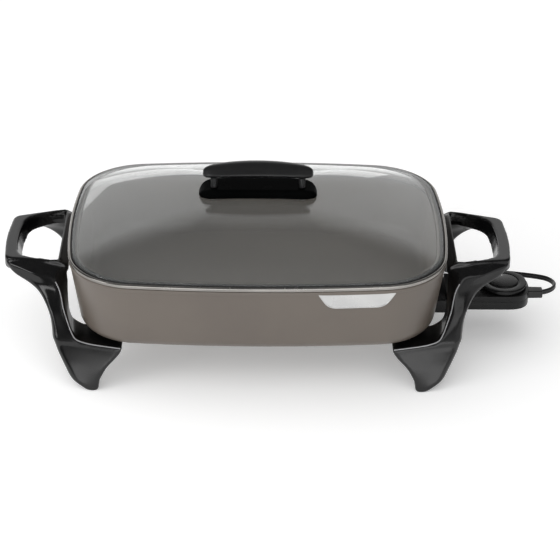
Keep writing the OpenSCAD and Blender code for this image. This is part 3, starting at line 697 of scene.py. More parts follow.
@dataclass(frozen=True)
class GlassFinish(Surface):
    """Clear lid glass with faint wiped haze, which lets lamp light through."""

    name: str = "lid_glass_clear"
    tint: Colour = (0.955, 0.97, 0.965, 1.0)
    second: Colour = (0.93, 0.95, 0.945, 1.0)
    shadow: Colour = (0.93, 0.94, 0.94, 1.0)
    haze: Pair = (0.0, 0.09)
    clear: float = 0.97

    def shade(self, wires: Wiring) -> Any:
        """Wires the glass, and a tinted clear surface for shadow rays.

        Args:
            wires: The material's wiring.

        Returns:
            The shader's output.
        """
        where = wires.node("ShaderNodeTexCoord").outputs["Object"]
        pane = wires.node("ShaderNodeBsdfPrincipled", {
            "Transmission Weight": self.clear, "IOR": 1.5,
            "Base Color": RACK.use(Effect.DRIFT, wires, where, Scale=9.0, Base=self.tint, Tone=self.second),
            "Roughness": RACK.use(Effect.SMUDGE, wires, where, Scale=7.0, Low=self.haze[0], High=self.haze[1])})
        clear = wires.node("ShaderNodeBsdfTransparent", {"Color": self.shadow})
        rays = wires.node("ShaderNodeLightPath")
        return wires.node("ShaderNodeMixShader", {
            0: rays.outputs["Is Shadow Ray"], 1: pane.outputs[0], 2: clear.outputs[0]}).outputs[0]


PAN_COAT = Finish("pan_satin_coating", tone(100, 92, 85), tone(107, 99, 91), rough=(0.32, 0.44), coat=0.15,
                  coat_rough=0.3, drift_scale=7.0, speckle=0.35, skin_scale=1500.0, skin_depth=0.00003, dust=0.05)
PHENOLIC = Finish("moulded_phenolic", tone(8, 8, 9), tone(12, 12, 13), rough=(0.14, 0.22),
                  skin_scale=700.0, skin_depth=0.00001, dust=0.01)
# Light grey, part-metal bead finish: a painted highlight along the frames' black edges.
EDGE_HIGHLIGHT_PAINT = Finish("painted_edge_highlight", tone(165, 165, 167), tone(185, 185, 187), rough=(0.15, 0.25), metal=0.4,
                    skin_scale=700.0, skin_depth=0.000005)
# Grip tone lifted above the plastic's black: painted sheen standing in for the grip's glossy highlights.
KNOB_BLACK_SHEEN_LIFTED = Finish("knob_moulding_sheen_lifted", tone(24, 24, 25), tone(31, 31, 32), rough=(0.3, 0.4),
                    skin_scale=900.0, skin_depth=0.00001, dust=0.008, gloss=0.4)
# Base: darker and almost unreflective copy of the same knob plastic, painted shade under the grip.
KNOB_BASE_SHADED = Finish("knob_base_painted_shade", tone(5, 6, 6), tone(8, 9, 9), rough=(0.2, 0.3), skin_scale=900.0,
                   skin_depth=0.00001, dust=0.001, ior=1.03)
CONTROL_BLACK = Finish("control_moulding", tone(11, 11, 12), tone(16, 16, 17), rough=(0.24, 0.36),
                       skin_scale=1400.0, skin_depth=0.00002, dust=0.015, gloss=0.28)
CORD_BLACK = Finish("cord_jacket", tone(15, 15, 16), tone(22, 22, 23), rough=(0.3, 0.45), skin_scale=1800.0,
                    skin_depth=0.00002, dust=0.02)
SEAL_BLACK = Finish("seal_rubber", tone(30, 30, 31), tone(40, 40, 41), rough=(0.5, 0.65), skin_scale=1600.0)
RIM_STEEL = Finish("polished_rim", tone(150, 147, 143), tone(165, 162, 158), rough=(0.18, 0.3), metal=1.0,
                   brushed=True, skin_depth=0.000012)
SCREW_STEEL = Finish("zinc_screw", tone(176, 178, 180), tone(196, 194, 186), rough=(0.28, 0.42), metal=1.0,
                     skin_scale=1500.0)
PIN_NICKEL = Finish("nickel_plate", tone(190, 186, 176), tone(205, 202, 194), rough=(0.16, 0.3), metal=1.0,
                    brushed=True, skin_depth=0.00001)
SHEATH = Finish("element_sheath", tone(92, 86, 80), tone(120, 108, 98), rough=(0.4, 0.6), metal=0.85,
                drift_scale=30.0, skin_scale=800.0)
BRASS = Finish("contact_brass", tone(188, 150, 80), tone(204, 172, 104), rough=(0.22, 0.36), metal=1.0)
CERAMIC = Finish("pin_ceramic", tone(224, 219, 205), tone(234, 230, 220), rough=(0.45, 0.6), skin_scale=1200.0)
BADGE = Finish("badge_satin", tone(196, 196, 196), tone(210, 210, 209), rough=(0.24, 0.34), metal=1.0,
               brushed=True, skin_depth=0.000015)
LENS = Finish("pilot_lens_amber", tone(196, 92, 30), tone(214, 112, 44), rough=(0.08, 0.16), coat=0.8,
              coat_rough=0.04, skin_scale=500.0)
GLASS = GlassFinish()


# ---------------------------------------------------------------- sub-assemblies


@dataclass(frozen=True)
class Outline:
    """The bowed and rounded outline that the pan and the lid share, in millimetres."""

    length: float = 410.0
    depth: float = 306.0
    bow_long: float = 14.5
    bow_short: float = 16.0
    corner: float = 76.0
    steps: tuple[int, int, int] = (12, 24, 14)

    @staticmethod
    def side_radius(half: float, bow: float) -> float:
        """Radius of a bowed side from half its length and its bow."""
        return (half ** 2 + bow ** 2) / (2 * bow)

    def quarter(self) -> list[tuple[Vector, Vector]]:
        """Samples the first quarter.

        Returns:
            Points, each with the direction outwards.
        """
        half_len, half_dep = self.length / 2, self.depth / 2
        long_r, short_r = self.side_radius(half_len, self.bow_long), self.side_radius(half_dep, self.bow_short)
        long_c, short_c = Vector((0.0, half_dep - long_r)), Vector((half_len - short_r, 0.0))
        far, near = long_r - self.corner, short_r - self.corner
        gap = (short_c - long_c).length
        way = (short_c - long_c) / gap
        along = (far * far - near * near + gap * gap) / (2 * gap)
        corner_c = long_c + way * along + Vector((way.y, -way.x)) * sqrt(far * far - along * along)
        start = atan2(corner_c.y - short_c.y, corner_c.x - short_c.x)
        end = atan2(corner_c.y - long_c.y, corner_c.x - long_c.x)
        out: list[tuple[Vector, Vector]] = []
        arcs = ((short_c, short_r, 0.0, start), (corner_c, self.corner, start, end), (long_c, long_r, end, pi / 2))
        for (centre, radius, a0, a1), count in zip(arcs, self.steps):
            for k in range(count):
                angle = a0 + (a1 - a0) * k / count
                out.append((centre + on_circle(angle, radius), on_circle(angle)))
        return out

    def ring(self, inset: float, height: float, share: float = 1.0) -> Ring:
        """The outline moved inwards, scaled about its middle and put at a height.

        Args:
            inset: How far inwards, in millimetres.
            height: The ring's height above the table.
            share: Scale about the middle.

        Returns:
            The ring's points in the row frame.
        """
        base = [tuple((p - n * inset) * share) for p, n in self.quarter()]
        side = (self.length / 2 - inset) * share
        front = (self.depth / 2 - inset) * share
        turn = base[1:]
        spots = (base + [(0.0, front)] + [(-x, y) for x, y in reversed(turn)] + [(-side, 0.0)]
                 + [(-x, -y) for x, y in turn] + [(0.0, -front)] + [(x, -y) for x, y in reversed(turn)])
        return [place(x, y, height) for x, y in spots]


OUTLINE = Outline()


@dataclass
class Camera:
    """The camera, at the height and distance from which the skillet is seen."""

    at: Point = (-20.5, -2038.3, 1166.0)
    pitch: float = 28.465
    roll: float = 0.313
    lens: float = 134.6
    shift: float = 0.0401

    def build(self) -> None:
        """Creates the camera and makes it the scene's."""
        data = bpy.data.cameras.new("camera")
        data.lens, data.sensor_width, data.shift_x = self.lens, 36.0, self.shift
        data.clip_start, data.clip_end = 0.05, 60.0
        lean = Matrix.Rotation(radians(90 - self.pitch), 4, "X")
        turn = lean @ Matrix.Rotation(radians(self.roll), 4, "Z")
        bpy.context.scene.camera = show("camera", data, Matrix.Translation(Vector(self.at) * MM) @ turn)


@dataclass
class CordSet:
    """The flat twin cord from the heat control's strain relief to its plug, in millimetres."""

    width: float = 6.0
    lobe: float = 1.75
    coil_at: Pair = (150.0, 225.0)
    coil_r: float = 31.0
    turns: int = 2
    pitch: float = 6.1
    floor_gap: float = 3.05
    per_turn: int = 16
    strap: float = 0.4
    tie_at: float = 60.0
    tie_half: Pair = (2.6, 3.0)
    tie_over: float = 3.3
    tie_under: float = 0.05
    lead: tuple[Point, ...] = (
        (310, 0, 47.2), (317.6, 1.3, 47.2), (324.3, 5.2, 47), (329.2, 11.1, 46.5), (331.9, 18.3, 45.9),
        (331.9, 26.1, 45.2), (329.2, 33.3, 44.5), (324.3, 39.2, 43.9), (318.3, 42.8, 43.5), (309.5, 46.4, 43.1),
        (299, 50.6, 42.2), (284, 58, 40), (269, 68, 35), (256, 80, 28.5), (245, 94, 21), (235, 109, 13),
        (226, 123, 7.5), (218, 136, 4.4), (214, 149, 3.15), (212, 161, 3.05), (206, 174, 3.05), (196, 185, 3.05),
        (183, 192, 3.05), (169, 194, 3.05))
    tail: tuple[Point, ...] = ((130.5, 194, 14.4), (120, 194, 12.2), (109, 194, 8.9), (100, 194, 5.8),
                               (94, 194, 4.35), (88, 194, 4.25))
    plug: tuple[Point, ...] = ((0, 11, 6.5), (4, 11, 6.5), (14, 9.9, 6.2), (20, 6.6, 5.2), (26, 4.1, 4.2))
    finish: Finish = CORD_BLACK

    def route(self) -> list[Vector]:
        """The cord's centre line.

        Returns:
            Its points in the row frame.
        """
        coil = []
        for share in (k / self.per_turn for k in range(self.turns * self.per_turn + 1)):
            spot = Vector(self.coil_at) + on_circle(-pi / 2 - tau * share, self.coil_r)
            coil.append((spot.x, spot.y, self.floor_gap + self.pitch * share))
        return [place(*p) for p in through([*self.lead, *coil, *self.tail], 5)]

    def section(self) -> list[Pair]:
        """Outline of the two lobes with the groove between them.

        Returns:
            Its points, sideways and upwards.
        """
        apart = self.width / 2 - self.lobe
        start = -asin(apart / self.lobe)
        span = pi - 2 * start
        half = [Vector((0.0, apart)) + on_circle(start + span * k / 13, self.lobe) for k in range(13)]
        return [tuple(p) for p in half] + [tuple(-p) for p in half]

    def build(self) -> None:
        """Builds the cord, its tie and its plug."""
        spots = self.route()
        cord = lofted("cord_run", sweep(spots, self.section()), 60.0)
        fit(cord, Body.CONTROL, self.finish, Slot.CORD, "cord", "cord_coil")
        plug = self.plug_piece()
        tie = self.tie()

    def plug_piece(self) -> Object:
        """Builds the moulded plug body at the cord's end.

        Returns:
            The piece.
        """
        end_x, end_y = self.tail[-1][0] - self.plug[-1][0], self.tail[-1][1]
        rings = [[place(end_x + along, end_y + y, z) for y, z in rounded(slab(half_w, 0.0, 2 * half_h), (3,) * 4, 5)]
                 for along, half_w, half_h in through(self.plug, 3)]
        plug = lofted("plug_moulding", rings, bevels={0: (0.0006, 3)})
        return fit(plug, Body.CONTROL, self.finish, Slot.CORD, "plug_body")

    def tie(self) -> Object:
        """Builds a flat strap round the coil's turns.

        Returns:
            The piece.
        """
        out = on_circle(radians(self.tie_at))
        side = Vector((-out.y, out.x))
        middle = Vector(self.coil_at) + out * self.coil_r
        top = self.floor_gap + self.pitch * self.turns + self.tie_over
        half, reach = self.tie_half
        rings = []
        for thick, along in ((0.0, -reach), (0.0, reach), (self.strap, reach), (self.strap, -reach)):
            corners = slab(half - (0.5 if thick else 0.0), self.tie_under + thick, top - thick)
            rings.append([place(*(middle + out * x + side * along), z) for x, z in rounded(corners, (1.6,) * 4, 6)])
        tie = lofted("cord_tie", rings, closed=True)
        return fit(tie, Body.CONTROL, SEAL_BLACK, Slot.CORD)


@dataclass
class Pan:
    """The cast pan, its badge plate and what hangs below its floor, in millimetres."""

    wall: float = 3.0
    floor: float = 5.0
    lip: float = 6.0
    draft: float = 8.0
    base_r: float = 15.0
    wall_in: float = 1.6
    lip_h: float = 4.2
    badge_at: Pair = (103.0, 116.4)
    badge_size: Point = (81.0, 59.0, 17.6)
    boss_r: float = 7.0
    rail: Pair = (2.0, 4.5)
    rail_off: float = 5.6
    rail_line: Pair = (130.0, 85.0)
    rail_half: Pair = (90.0, 45.0)
    finish: Finish = PAN_COAT

    def foot(self, radius: float, wall_inset: float, height: float) -> list[Pair]:
        """Rounding between a wall and a floor.

        Args:
            radius: Radius of the rounding.
            wall_inset: Inset of the wall where the rounding starts.
            height: Height of the floor.

        Returns:
            Inset and height of its points, from the floor up.
        """
        lean = radians(self.draft)
        out = []
        for k in range(13):
            a = pi / 2 - k * (pi / 2 - lean) / 12
            out.append((wall_inset + radius * (cos(lean) - cos(a)), height + radius * (1 - sin(a))))
        return out

    def wall_foot(self, top_inset: float, depth: float, radius: float) -> float:
        """Inset of a wall at the height where its rounding starts."""
        lean = radians(self.draft)
        return top_inset + (depth - radius * (1 - sin(lean))) * tan(lean)

    def build(self) -> None:
        """Builds the pan, its bosses and rails, the badge plate and the parts below."""
        depth = LIP - STAND
        inner = self.base_r - self.wall
        outside = self.foot(self.base_r, self.wall_foot(self.wall_in, depth, self.base_r), STAND)
        inside = self.foot(inner, self.wall_foot(self.lip, depth - self.floor, inner), STAND + self.floor)
        under = LIP - self.lip_h
        stations = outside + [(self.wall_in, under), (0.6, under + 0.5), (0.6, LIP), (self.lip, LIP)] + inside[::-1]
        n = len(outside)
        pan = lofted("pan_shell", [OUTLINE.ring(*s) for s in stations],
                     bevels={n + 1: (0.0004, 3), n + 2: (0.0012, 4), n + 3: (0.001, 4)})
        fit(pan, Body.SKILLET, self.finish, Slot.PAN, "pan")
        self.underside()
        self.badge()

    def underside(self) -> None:
        """Cast bosses and the rails beside the element."""
        bm = bmesh.new()
        for x, y in itertools.product(*((-at, at) for at in SCREW_AT)):
            add_rod(bm, place(x, y, SHELF + 0.3), place(x, y, STAND + 1), self.boss_r)
        low, high, half = STAND - self.rail[1], STAND + 1, self.rail[0] / 2
        long, short = self.rail_half
        for off in (-self.rail_off, self.rail_off):
            x, side = off - self.rail_line[0], off + self.rail_line[1]
            for y in (-side, side):
                add_box(bm, place(-long, y - half, low), place(long, y + half, high), 0.0006)
            add_box(bm, place(x - half, -short, low), place(x + half, short, high), 0.0006)
        fit(finish_mesh(bm, "pan_bosses"), Body.SKILLET, self.finish, Slot.PAN)

    def badge(self) -> None:
        """The bare satin plate under the lip, right of the middle."""
        top, bottom, high = self.badge_size
        corners = [(-bottom / 2, -high / 2), (bottom / 2, -high / 2), (top / 2, high / 2), (-top / 2, high / 2)]
        middle_x, middle_z = self.badge_at
        rings = [[self.on_wall(middle_x + x * (1 - 2 * shrink / top), middle_z + z * (1 - 2 * shrink / high), proud)
                  for x, z in rounded(corners, (9.0, 9.0, 1.2, 1.2), 8)]
                 for proud, shrink in ((-0.4, 0.0), (0.9, 0.0), (0.9, 1.0), (0.6, 1.3))]
        fit(lofted("badge_plate", rings, 30.0, bevels={1: (0.0002, 2)}), Body.SKILLET, BADGE, Slot.STEEL)

    def on_wall(self, x: float, z: float, proud: float) -> Vector:
        """Point on the front wall's outside, or proud of it.

        Args:
            x: Place along the wall, from its middle.
            z: Height of the point.
            proud: How far it stands out.

        Returns:
            The point in the row frame.
        """
        long_r = OUTLINE.side_radius(OUTLINE.length / 2, OUTLINE.bow_long)
        inset = self.wall_in + (LIP - self.lip_h - z) * tan(radians(self.draft))
        y = -(OUTLINE.depth / 2 - long_r + sqrt(long_r ** 2 - x * x)) + inset - proud
        return place(x, y, z)


@dataclass
class HandleFrame:
    """One moulded frame: a grip loop with a front and a rear leg, in millimetres."""

    side: int
    foot: tuple[Row, ...] = (
        (0, 169, -137, 180, -137, 183, -129, 183, -118, 169, -118),
        (4, 168, -137, 186, -136.3, 190, -128, 190, -116, 168, -116),
        (11, 167, -136, 194.5, -133.4, 199, -126.5, 199, -110, 165, -110),
        (24, 160, -134, 203, -127, 207, -118, 208, -99, 157, -99),
        (36, 149, -132, 210, -120, 213.5, -111, 214, -89, 148, -88),
        (43, 144, -131, 213, -116, 216.5, -107, 217, -83, 144, -82),
        (47.5, 143, -130, 215, -114.5, 218.5, -105, 219, -79, 143, -79))
    column: tuple[Row, ...] = (
        (49, 186, -120.5, 215.5, -114, 219, -104.5, 219, -78, 186, -77),
        (51.5, 191, -118.5, 216, -112.5, 219, -103, 219, -78, 192, -76),
        (57, 196, -113.5, 216.5, -109, 219.5, -101, 220, -76, 199, -75),
        (66, 201, -104.5, 217.5, -104, 221, -97, 221, -74, 202, -72),
        (75, 205, -97, 220, -97, 225, -91, 225, -72, 202.5, -69),
        (85, 207.5, -90, 225, -85, 234, -77, 235, -69, 202.5, -66),
        (92, 210, -84.5, 228.5, -77, 243, -71, 247, -65, 202.5, -61),
        (98, 214, -79.5, 234, -73, 258, -62, 264, -56, 202.5, -60),
        (103.7, 218, -74.5, 241, -69.5, 267, -55, 271, -47, 203, -60),
        (106.7, 223, -70, 254, -61, 269, -53, 272, -47, 203, -60),
        (108.7, 229, -65, 256, -57, 268, -51, 271, -47, 203.5, -60),
        (110.7, 233, -61.5, 250, -57, 262, -51, 266, -48, 204, -60))
    leg_round: Row = (5, 5, 6, 5, 4)
    outer: tuple[Pair, ...] = ((275, 12), (272, 50.5), (222, 62), (203, 62))
    inner: tuple[Pair, ...] = ((261.5, 12), (258, 46), (222, 59), (214, 59))
    inner_low: tuple[Pair, ...] = ((257, 12), (253, 44), (222, 58), (214, 58))
    outer_round: Row = (10, 8, 10, 4)
    inner_round: Row = (8, 26, 10, 6)
    reach: float = 275.0
    drawn_top: float = 112.0
    top: float = 114.0
    thick: float = 16.0
    tilt: float = 0.052
    turn_x: float = 222.0
    inner_x: float = 214.0
    arm_fall: float = 0.6
    under: tuple[Pair, ...] = ((0.0, 4.5), (0.6, 2.8), (1.5, 1.5), (2.8, 0.5), (4.5, 0.0))
    over: tuple[Pair, ...] = ((14.5, 0.0), (15.4, 0.4), (16.0, 1.5))
    hole: tuple[Pair, ...] = ((16.0, -1.5), (15.3, -0.4), (14.0, 0.0))
    cell: float = 0.0009
    rounds: int = 9
    leg_wall: float = 3.2
    pockets: tuple[Pair, ...] = ((5, 16), (18.5, 30))
    pocket_rear: float = -104.0
    edge_r: float = 0.65
    edge_in: float = 1.3
    shelf_edge: tuple[Point, ...] = (
        (144.5, -129.3, 47.6), (158, -126.3, 47.9), (172, -123.2, 48.3), (182, -120.8, 49.2))
    screw_d: float = 4.8
    head_d: float = 10.5
    finish: Finish = PHENOLIC

    def spot(self, x: float, y: float, z: float) -> Vector:
        """Point on this side's frame."""
        return place(self.side * x, y, z)

    def height(self, z: float) -> float:
        """Height on the frame of a height in the tables."""
        return z if z < SHELF else SHELF + (z - SHELF) * (self.top - SHELF) / (self.drawn_top - SHELF)

    def leg(self, bm: Mesh, turn: int) -> None:
        """Adds a leg.

        Args:
            bm: The mesh that gets the leg.
            turn: 1 for the front leg, -1 for the rear one.
        """
        rings = []
        for z, *row in through(self.foot, 4) + through(self.column, 4):
            corners = list(zip(row[::2], row[1::2]))
            rings.append([self.spot(x, y * turn, self.height(z)) for x, y in rounded(corners, self.leg_round, 6)])
        loft(bm, rings)

    def loop_ring(self, half: Sequence[Pair], radii: Row, rise: float, inset: float = 0.0, fall: float = 0.0) -> Ring:
        """Ring of the grip loop.

        Args:
            half: The front half of its corners, from the grip to the pan.
            radii: How far before each of these corners its curve starts.
            rise: Height above the loop's underside, which itself rises towards the pan.
            inset: How far the ring is moved inwards.
            fall: Slope by which the ring falls beside the pan.

        Returns:
            The ring's points in the row frame.
        """
        moved = [(x - (inset if x > self.turn_x else 0.0), y - abs(inset)) for x, y in half]
        corners = moved + [(x, -y) for x, y in reversed(moved)]
        low = self.top - self.thick + rise
        return [self.spot(x, y, low + self.tilt * (self.reach - x) - fall * max(0.0, self.inner_x - x))
                for x, y in rounded(corners, radii + radii[::-1], 9)]

    def at_height(self, z: float) -> list[float]:
        """Reads the foot's table between its rows.

        Args:
            z: The height.

        Returns:
            The row at this height.
        """
        low, high = next(pair for pair in zip(self.foot, self.foot[1:]) if z <= pair[1][0])
        share = (z - low[0]) / (high[0] - low[0])
        return [a + (b - a) * share for a, b in zip(low, high)]

    def pocket(self, bm: Mesh, low: float, high: float, turn: int) -> None:
        """Adds the cutter of one pocket in a leg's inner side.

        Args:
            bm: The mesh that gets the cutter.
            low: Where the pocket starts.
            high: Where it ends.
            turn: 1 for the front leg, -1 for the rear one.
        """
        rings = []
        for z in (low, high):
            row = self.at_height(z)
            side, inner = self.leg_wall + 1, row[1] - 12
            rear = min(row[8] - self.leg_wall, self.pocket_rear)
            corners = [(inner, row[2] + self.leg_wall), (row[3] - self.leg_wall, row[4] + self.leg_wall),
                       (row[5] - side, row[6]), (row[7] - side, rear), (inner, rear)]
            rings.append([self.spot(x, y * turn, z) for x, y in rounded(corners, (0.5, 1.6, 1.6, 1.6, 0.5), 3)])
        loft(bm, rings)

    def cutter(self) -> Object:
        """Builds the pockets and the screw holes with their wide lower part.

        Returns:
            The mesh to cut away.
        """
        bm = bmesh.new()
        for turn in (1, -1):
            for low, high in self.pockets:
                self.pocket(bm, low, high, turn)
            x, y = SCREW_AT[0], SCREW_AT[1] * turn
            add_rod(bm, self.spot(x, y, -1), self.spot(x, y, SHELF + 2), self.screw_d / 2)
            add_rod(bm, self.spot(x, y, -2), self.spot(x, y, SHELF - 5), self.head_d / 2)
        return finish_mesh(bm, "frame_cutter")

    def build(self) -> None:
        """Builds the frame as one skin over its loop and legs."""
        bm = bmesh.new()
        self.leg(bm, 1)
        self.leg(bm, -1)
        rings = [self.loop_ring(self.outer, self.outer_round, *row) for row in self.under]
        rings += [self.loop_ring(self.outer, self.outer_round, *row, self.arm_fall) for row in self.over]
        rings += [self.loop_ring(self.inner, self.inner_round, *row) for row in self.hole]
        rings.append(self.loop_ring(self.inner_low, self.inner_round, 0.0))
        loft(bm, rings, closed=True)
        hand = "right" if self.side > 0 else "left"
        obj = moulded(bm, f"{hand}_frame", self.cell, self.rounds, self.cutter())
        fit(obj, Body.SKILLET, self.finish, Slot.FRAME, f"{hand}_handle_frame")
        # Beads of painted highlight along the legs' and shelves' edges.
        self.edges(f"{hand}_frame_highlight_beads")

    def edges(self, name: str) -> None:
        """Builds light grey part-metal beads on the shelves' front edges and the legs' inner edges, a painted
        highlight on the black moulding.

        Args:
            name: The piece's name.
        """
        bm = bmesh.new()
        up = [(row[1] + self.edge_in, row[2] + self.edge_in, self.height(row[0])) for row in self.column[1:8]]
        line = through([*self.shelf_edge, *up], 6)
        angles = [k * tau / 12 for k in range(12)]
        section = [(self.edge_r * cos(angle), self.edge_r * sin(angle)) for angle in angles]
        for turn in (1, -1):
            loft(bm, sweep([self.spot(x, y * turn, z) for x, y, z in line], section))
        fit(finish_mesh(bm, name, 60.0), Body.SKILLET, EDGE_HIGHLIGHT_PAINT, Slot.FRAME)


@dataclass
class Lid:
    """The steel rim, its seal and the glass dome, in millimetres."""

    bead: float = 3.6
    seat: float = 1.1
    skirt: float = 8.6
    # height of the dark band at the skirt's lower edge, painted shade
    hem: float = 1.8
    dome: float = 34.0
    glass: float = 3.6
    flange: float = 7.0
    power: float = 2.4
    steel: float = 0.9
    skirt_gap: float = 0.7
    glass_gap: float = 1.1
    glass_drop: float = 0.2

    def build(self) -> None:
        """Builds rim, seal and glass."""
        self.rim()
        self.seal()
        self.pane()

    @property
    def skirt_in(self) -> float:
        """Inset of the skirt's outer face."""
        return Pan.lip + self.skirt * tan(radians(Pan.draft)) + self.skirt_gap

    @property
    def ledge_in(self) -> float:
        """Inset of the skirt's inner face, where the glass ledge ends."""
        return self.skirt_in + self.steel

    @property
    def edge_in(self) -> float:
        """Inset of the glass edge."""
        return self.bead + self.glass_gap

    @property
    def glass_z(self) -> float:
        """Underside of the glass edge."""
        return RIM - self.glass_drop

    def rim(self) -> None:
        """The rolled bead with its seat, ledge and skirt."""
        r = self.bead / 2
        low = RIM - r - self.seat
        arc = [(r - r * cos(a), RIM + r * sin(a)) for a in (radians(k) for k in range(-50, 181, 14))]
        stations = ([(r, low), (0.7, low + 0.5)] + arc
                    + [(self.bead + 0.1, RIM - 1), (self.ledge_in, RIM - 1), (self.ledge_in, low - self.skirt),
                       (self.skirt_in, low - self.skirt), (self.skirt_in, low)])
        rim = lofted("rim_bead", [OUTLINE.ring(*s) for s in stations], 34.0, closed=True)
        fit(rim, Body.LID, RIM_STEEL, Slot.STEEL, "lid_rim")

    def seal(self) -> None:
        """The dark lip between steel and glass, the foot that the glass rests on, and a dark band at the skirt's lower
        edge that paints the shade where the skirt meets the pan wall.
        """
        inn, low, high = self.bead + 0.2, RIM - 0.9, self.glass_z + self.glass - 0.8
        lip = [(inn, low), (inn, high - 0.3), (inn + 0.15, high - 0.08), (inn + 0.4, high),
               (inn + 0.65, high - 0.08), (inn + 0.8, high - 0.3), (inn + 0.8, low)]
        rest = self.glass_z - 0.1
        foot = [(inn + 0.8, low), (inn + 0.8, rest), (self.ledge_in, rest), (self.ledge_in, low)]
        # Dark band at the skirt's lower edge: painted shade of the gap between skirt and pan wall.
        shade_band_z = RIM - self.bead / 2 - self.seat - self.skirt
        hem = [(self.skirt_in - 0.3, shade_band_z + self.hem), (self.skirt_in - 0.3, shade_band_z), (self.ledge_in + 0.3, shade_band_z),
               (self.ledge_in + 0.3, shade_band_z + self.hem)]
        for name, stations, *nodes in (("glass_gasket", lip, "glass_seal"), ("gasket_foot", foot), ("skirt_hem", hem)):
            piece = lofted(name, [OUTLINE.ring(*s) for s in stations], closed=True)
            fit(piece, Body.LID, SEAL_BLACK, Slot.SEAL, *nodes)

    def pane(self) -> None:
        """The glass dome with its flat edge."""
        edge_in, dome_in = self.edge_in, self.edge_in + self.flange
        shares = [0.02 + 0.98 * sin(pi / 2 * k / 30) for k in range(31)]
        low, top, cut = self.glass_z, self.glass_z + self.glass, 0.9
        under, over = ([(dome_in, z + self.dome * (1 - s ** self.power), s) for s in shares] for z in (low, top))
        edge = [(edge_in + cut, low), (edge_in, low + cut), (edge_in, top - cut), (edge_in + cut, top)]
        pane = lofted("glass_dome", [OUTLINE.ring(*s) for s in under + edge + over[::-1]], 60.0)
        fit(pane, Body.LID, GLASS, Slot.GLASS, "lid_glass")


@dataclass
class LidHandle:
    """The base on the glass and the grip on its two posts, in millimetres."""

    grip_len: float = 119.0
    grip_dep: float = 30.0
    grip_t: float = 14.0
    grip_drop: float = 6.5
    grip_tip: float = 5.0
    gap: float = 14.3
    base_len: float = 128.0
    base_dep: float = 34.0
    base_t: float = 8.5
    post_pitch: float = 95.0
    post: Pair = (7.0, 17.0)
    lift: float = 0.3
    flat: float = 0.12
    cells: Pair = (0.0006, 0.0005)
    rounds: int = 3
    # Grip finish with painted sheen in its tone.
    finish: Finish = KNOB_BLACK_SHEEN_LIFTED

    def glass_top(self, x: float) -> float:
        """Height of the glass's outer face over the X axis.

        Args:
            x: Place on the axis.

        Returns:
            The height.
        """
        lid = Lid()
        share = max(self.flat, abs(x) / (OUTLINE.length / 2 - lid.edge_in - lid.flange))
        return lid.glass_z + lid.glass + lid.dome * (1 - share ** lid.power)

    @property
    def base_top(self) -> float:
        """Top of the base at its middle."""
        return self.glass_top(0) + self.lift + self.base_t

    @property
    def grip_top(self) -> float:
        """Top of the grip at its middle."""
        return self.base_top + self.gap + self.grip_t

    @staticmethod
    def fullness(share: float, power: float) -> float:
        """How full a rounded end is at a share of its half length."""
        return max(0.0, 1 - abs(share) ** power) ** (1 / 2.2)

    @staticmethod
    def stations() -> list[float]:
        """Places along a bar, closer together towards its ends."""
        return [-cos(pi * k / 56) * 0.998 for k in range(57)]

    def base(self) -> None:
        """The base that follows the glass."""
        rings = []
        for u in self.stations():
            x = u * self.base_len / 2
            w = self.base_dep / 2 * max(0.3, self.fullness(u, 9))
            low = self.glass_top(x) + self.lift
            high = low + (self.base_top - low) * max(0.25, self.fullness(u, 8))
            corners = [(-w, low), (w + 1.5, low), (w + 1.5, high), (-w, high)]
            rings.append([place(x, y, z) for y, z in rounded(corners, (0.8, 0.8, 1.0, 5), 6)])
        bm = bmesh.new()
        loft(bm, rings)
        # The base takes the darker copy of the knob plastic: painted shade.
        fit(moulded(bm, "lid_handle_base", self.cells[0], self.rounds), Body.LID, KNOB_BASE_SHADED, Slot.KNOB, "knob_base")

    def grip(self) -> None:
        """The grip with its two posts."""
        rings = []
        for u in self.stations():
            x = u * self.grip_len / 2
            w = self.grip_dep / 2 * max(0.3, self.fullness(u, 4))
            top = self.grip_top - self.grip_drop * u * u
            under = self.grip_top - self.grip_t - self.grip_tip * abs(u) ** 6
            t = (top - under) * max(0.35, self.fullness(u, 14))
            high = (top + under + t) / 2
            low = high - t - 1.1
            corners = [(-w * 0.72, low), (w * 0.8, low), (w, low + t * 0.25), (w, low + t * 0.45), (w * 0.3, high),
                       (-w * 0.35, high), (-w, low + t * 0.4), (-w * 0.96, low + t * 0.27)]
            rings.append([place(x, y, z) for y, z in rounded(corners, (0.8, 2, 1.5, 3, 6, 6, 3, 1), 5)])
        bm = bmesh.new()
        loft(bm, rings)
        half_w, half_d = self.post[0] / 2, self.post[1] / 2
        plan = rounded(slab(half_w, -half_d, half_d), (3,) * 4, 8)
        foot = self.base_top + 0.1
        for middle in (-self.post_pitch / 2, self.post_pitch / 2):
            loft(bm, [[place(middle + x, y, z) for x, y in plan] for z in (foot, foot + self.gap)])
        fit(moulded(bm, "lid_handle_grip", self.cells[1], self.rounds), Body.LID, self.finish, Slot.KNOB, "knob_grip")

    def build(self) -> None:
        """Builds base and grip."""
        self.base()
        self.grip()


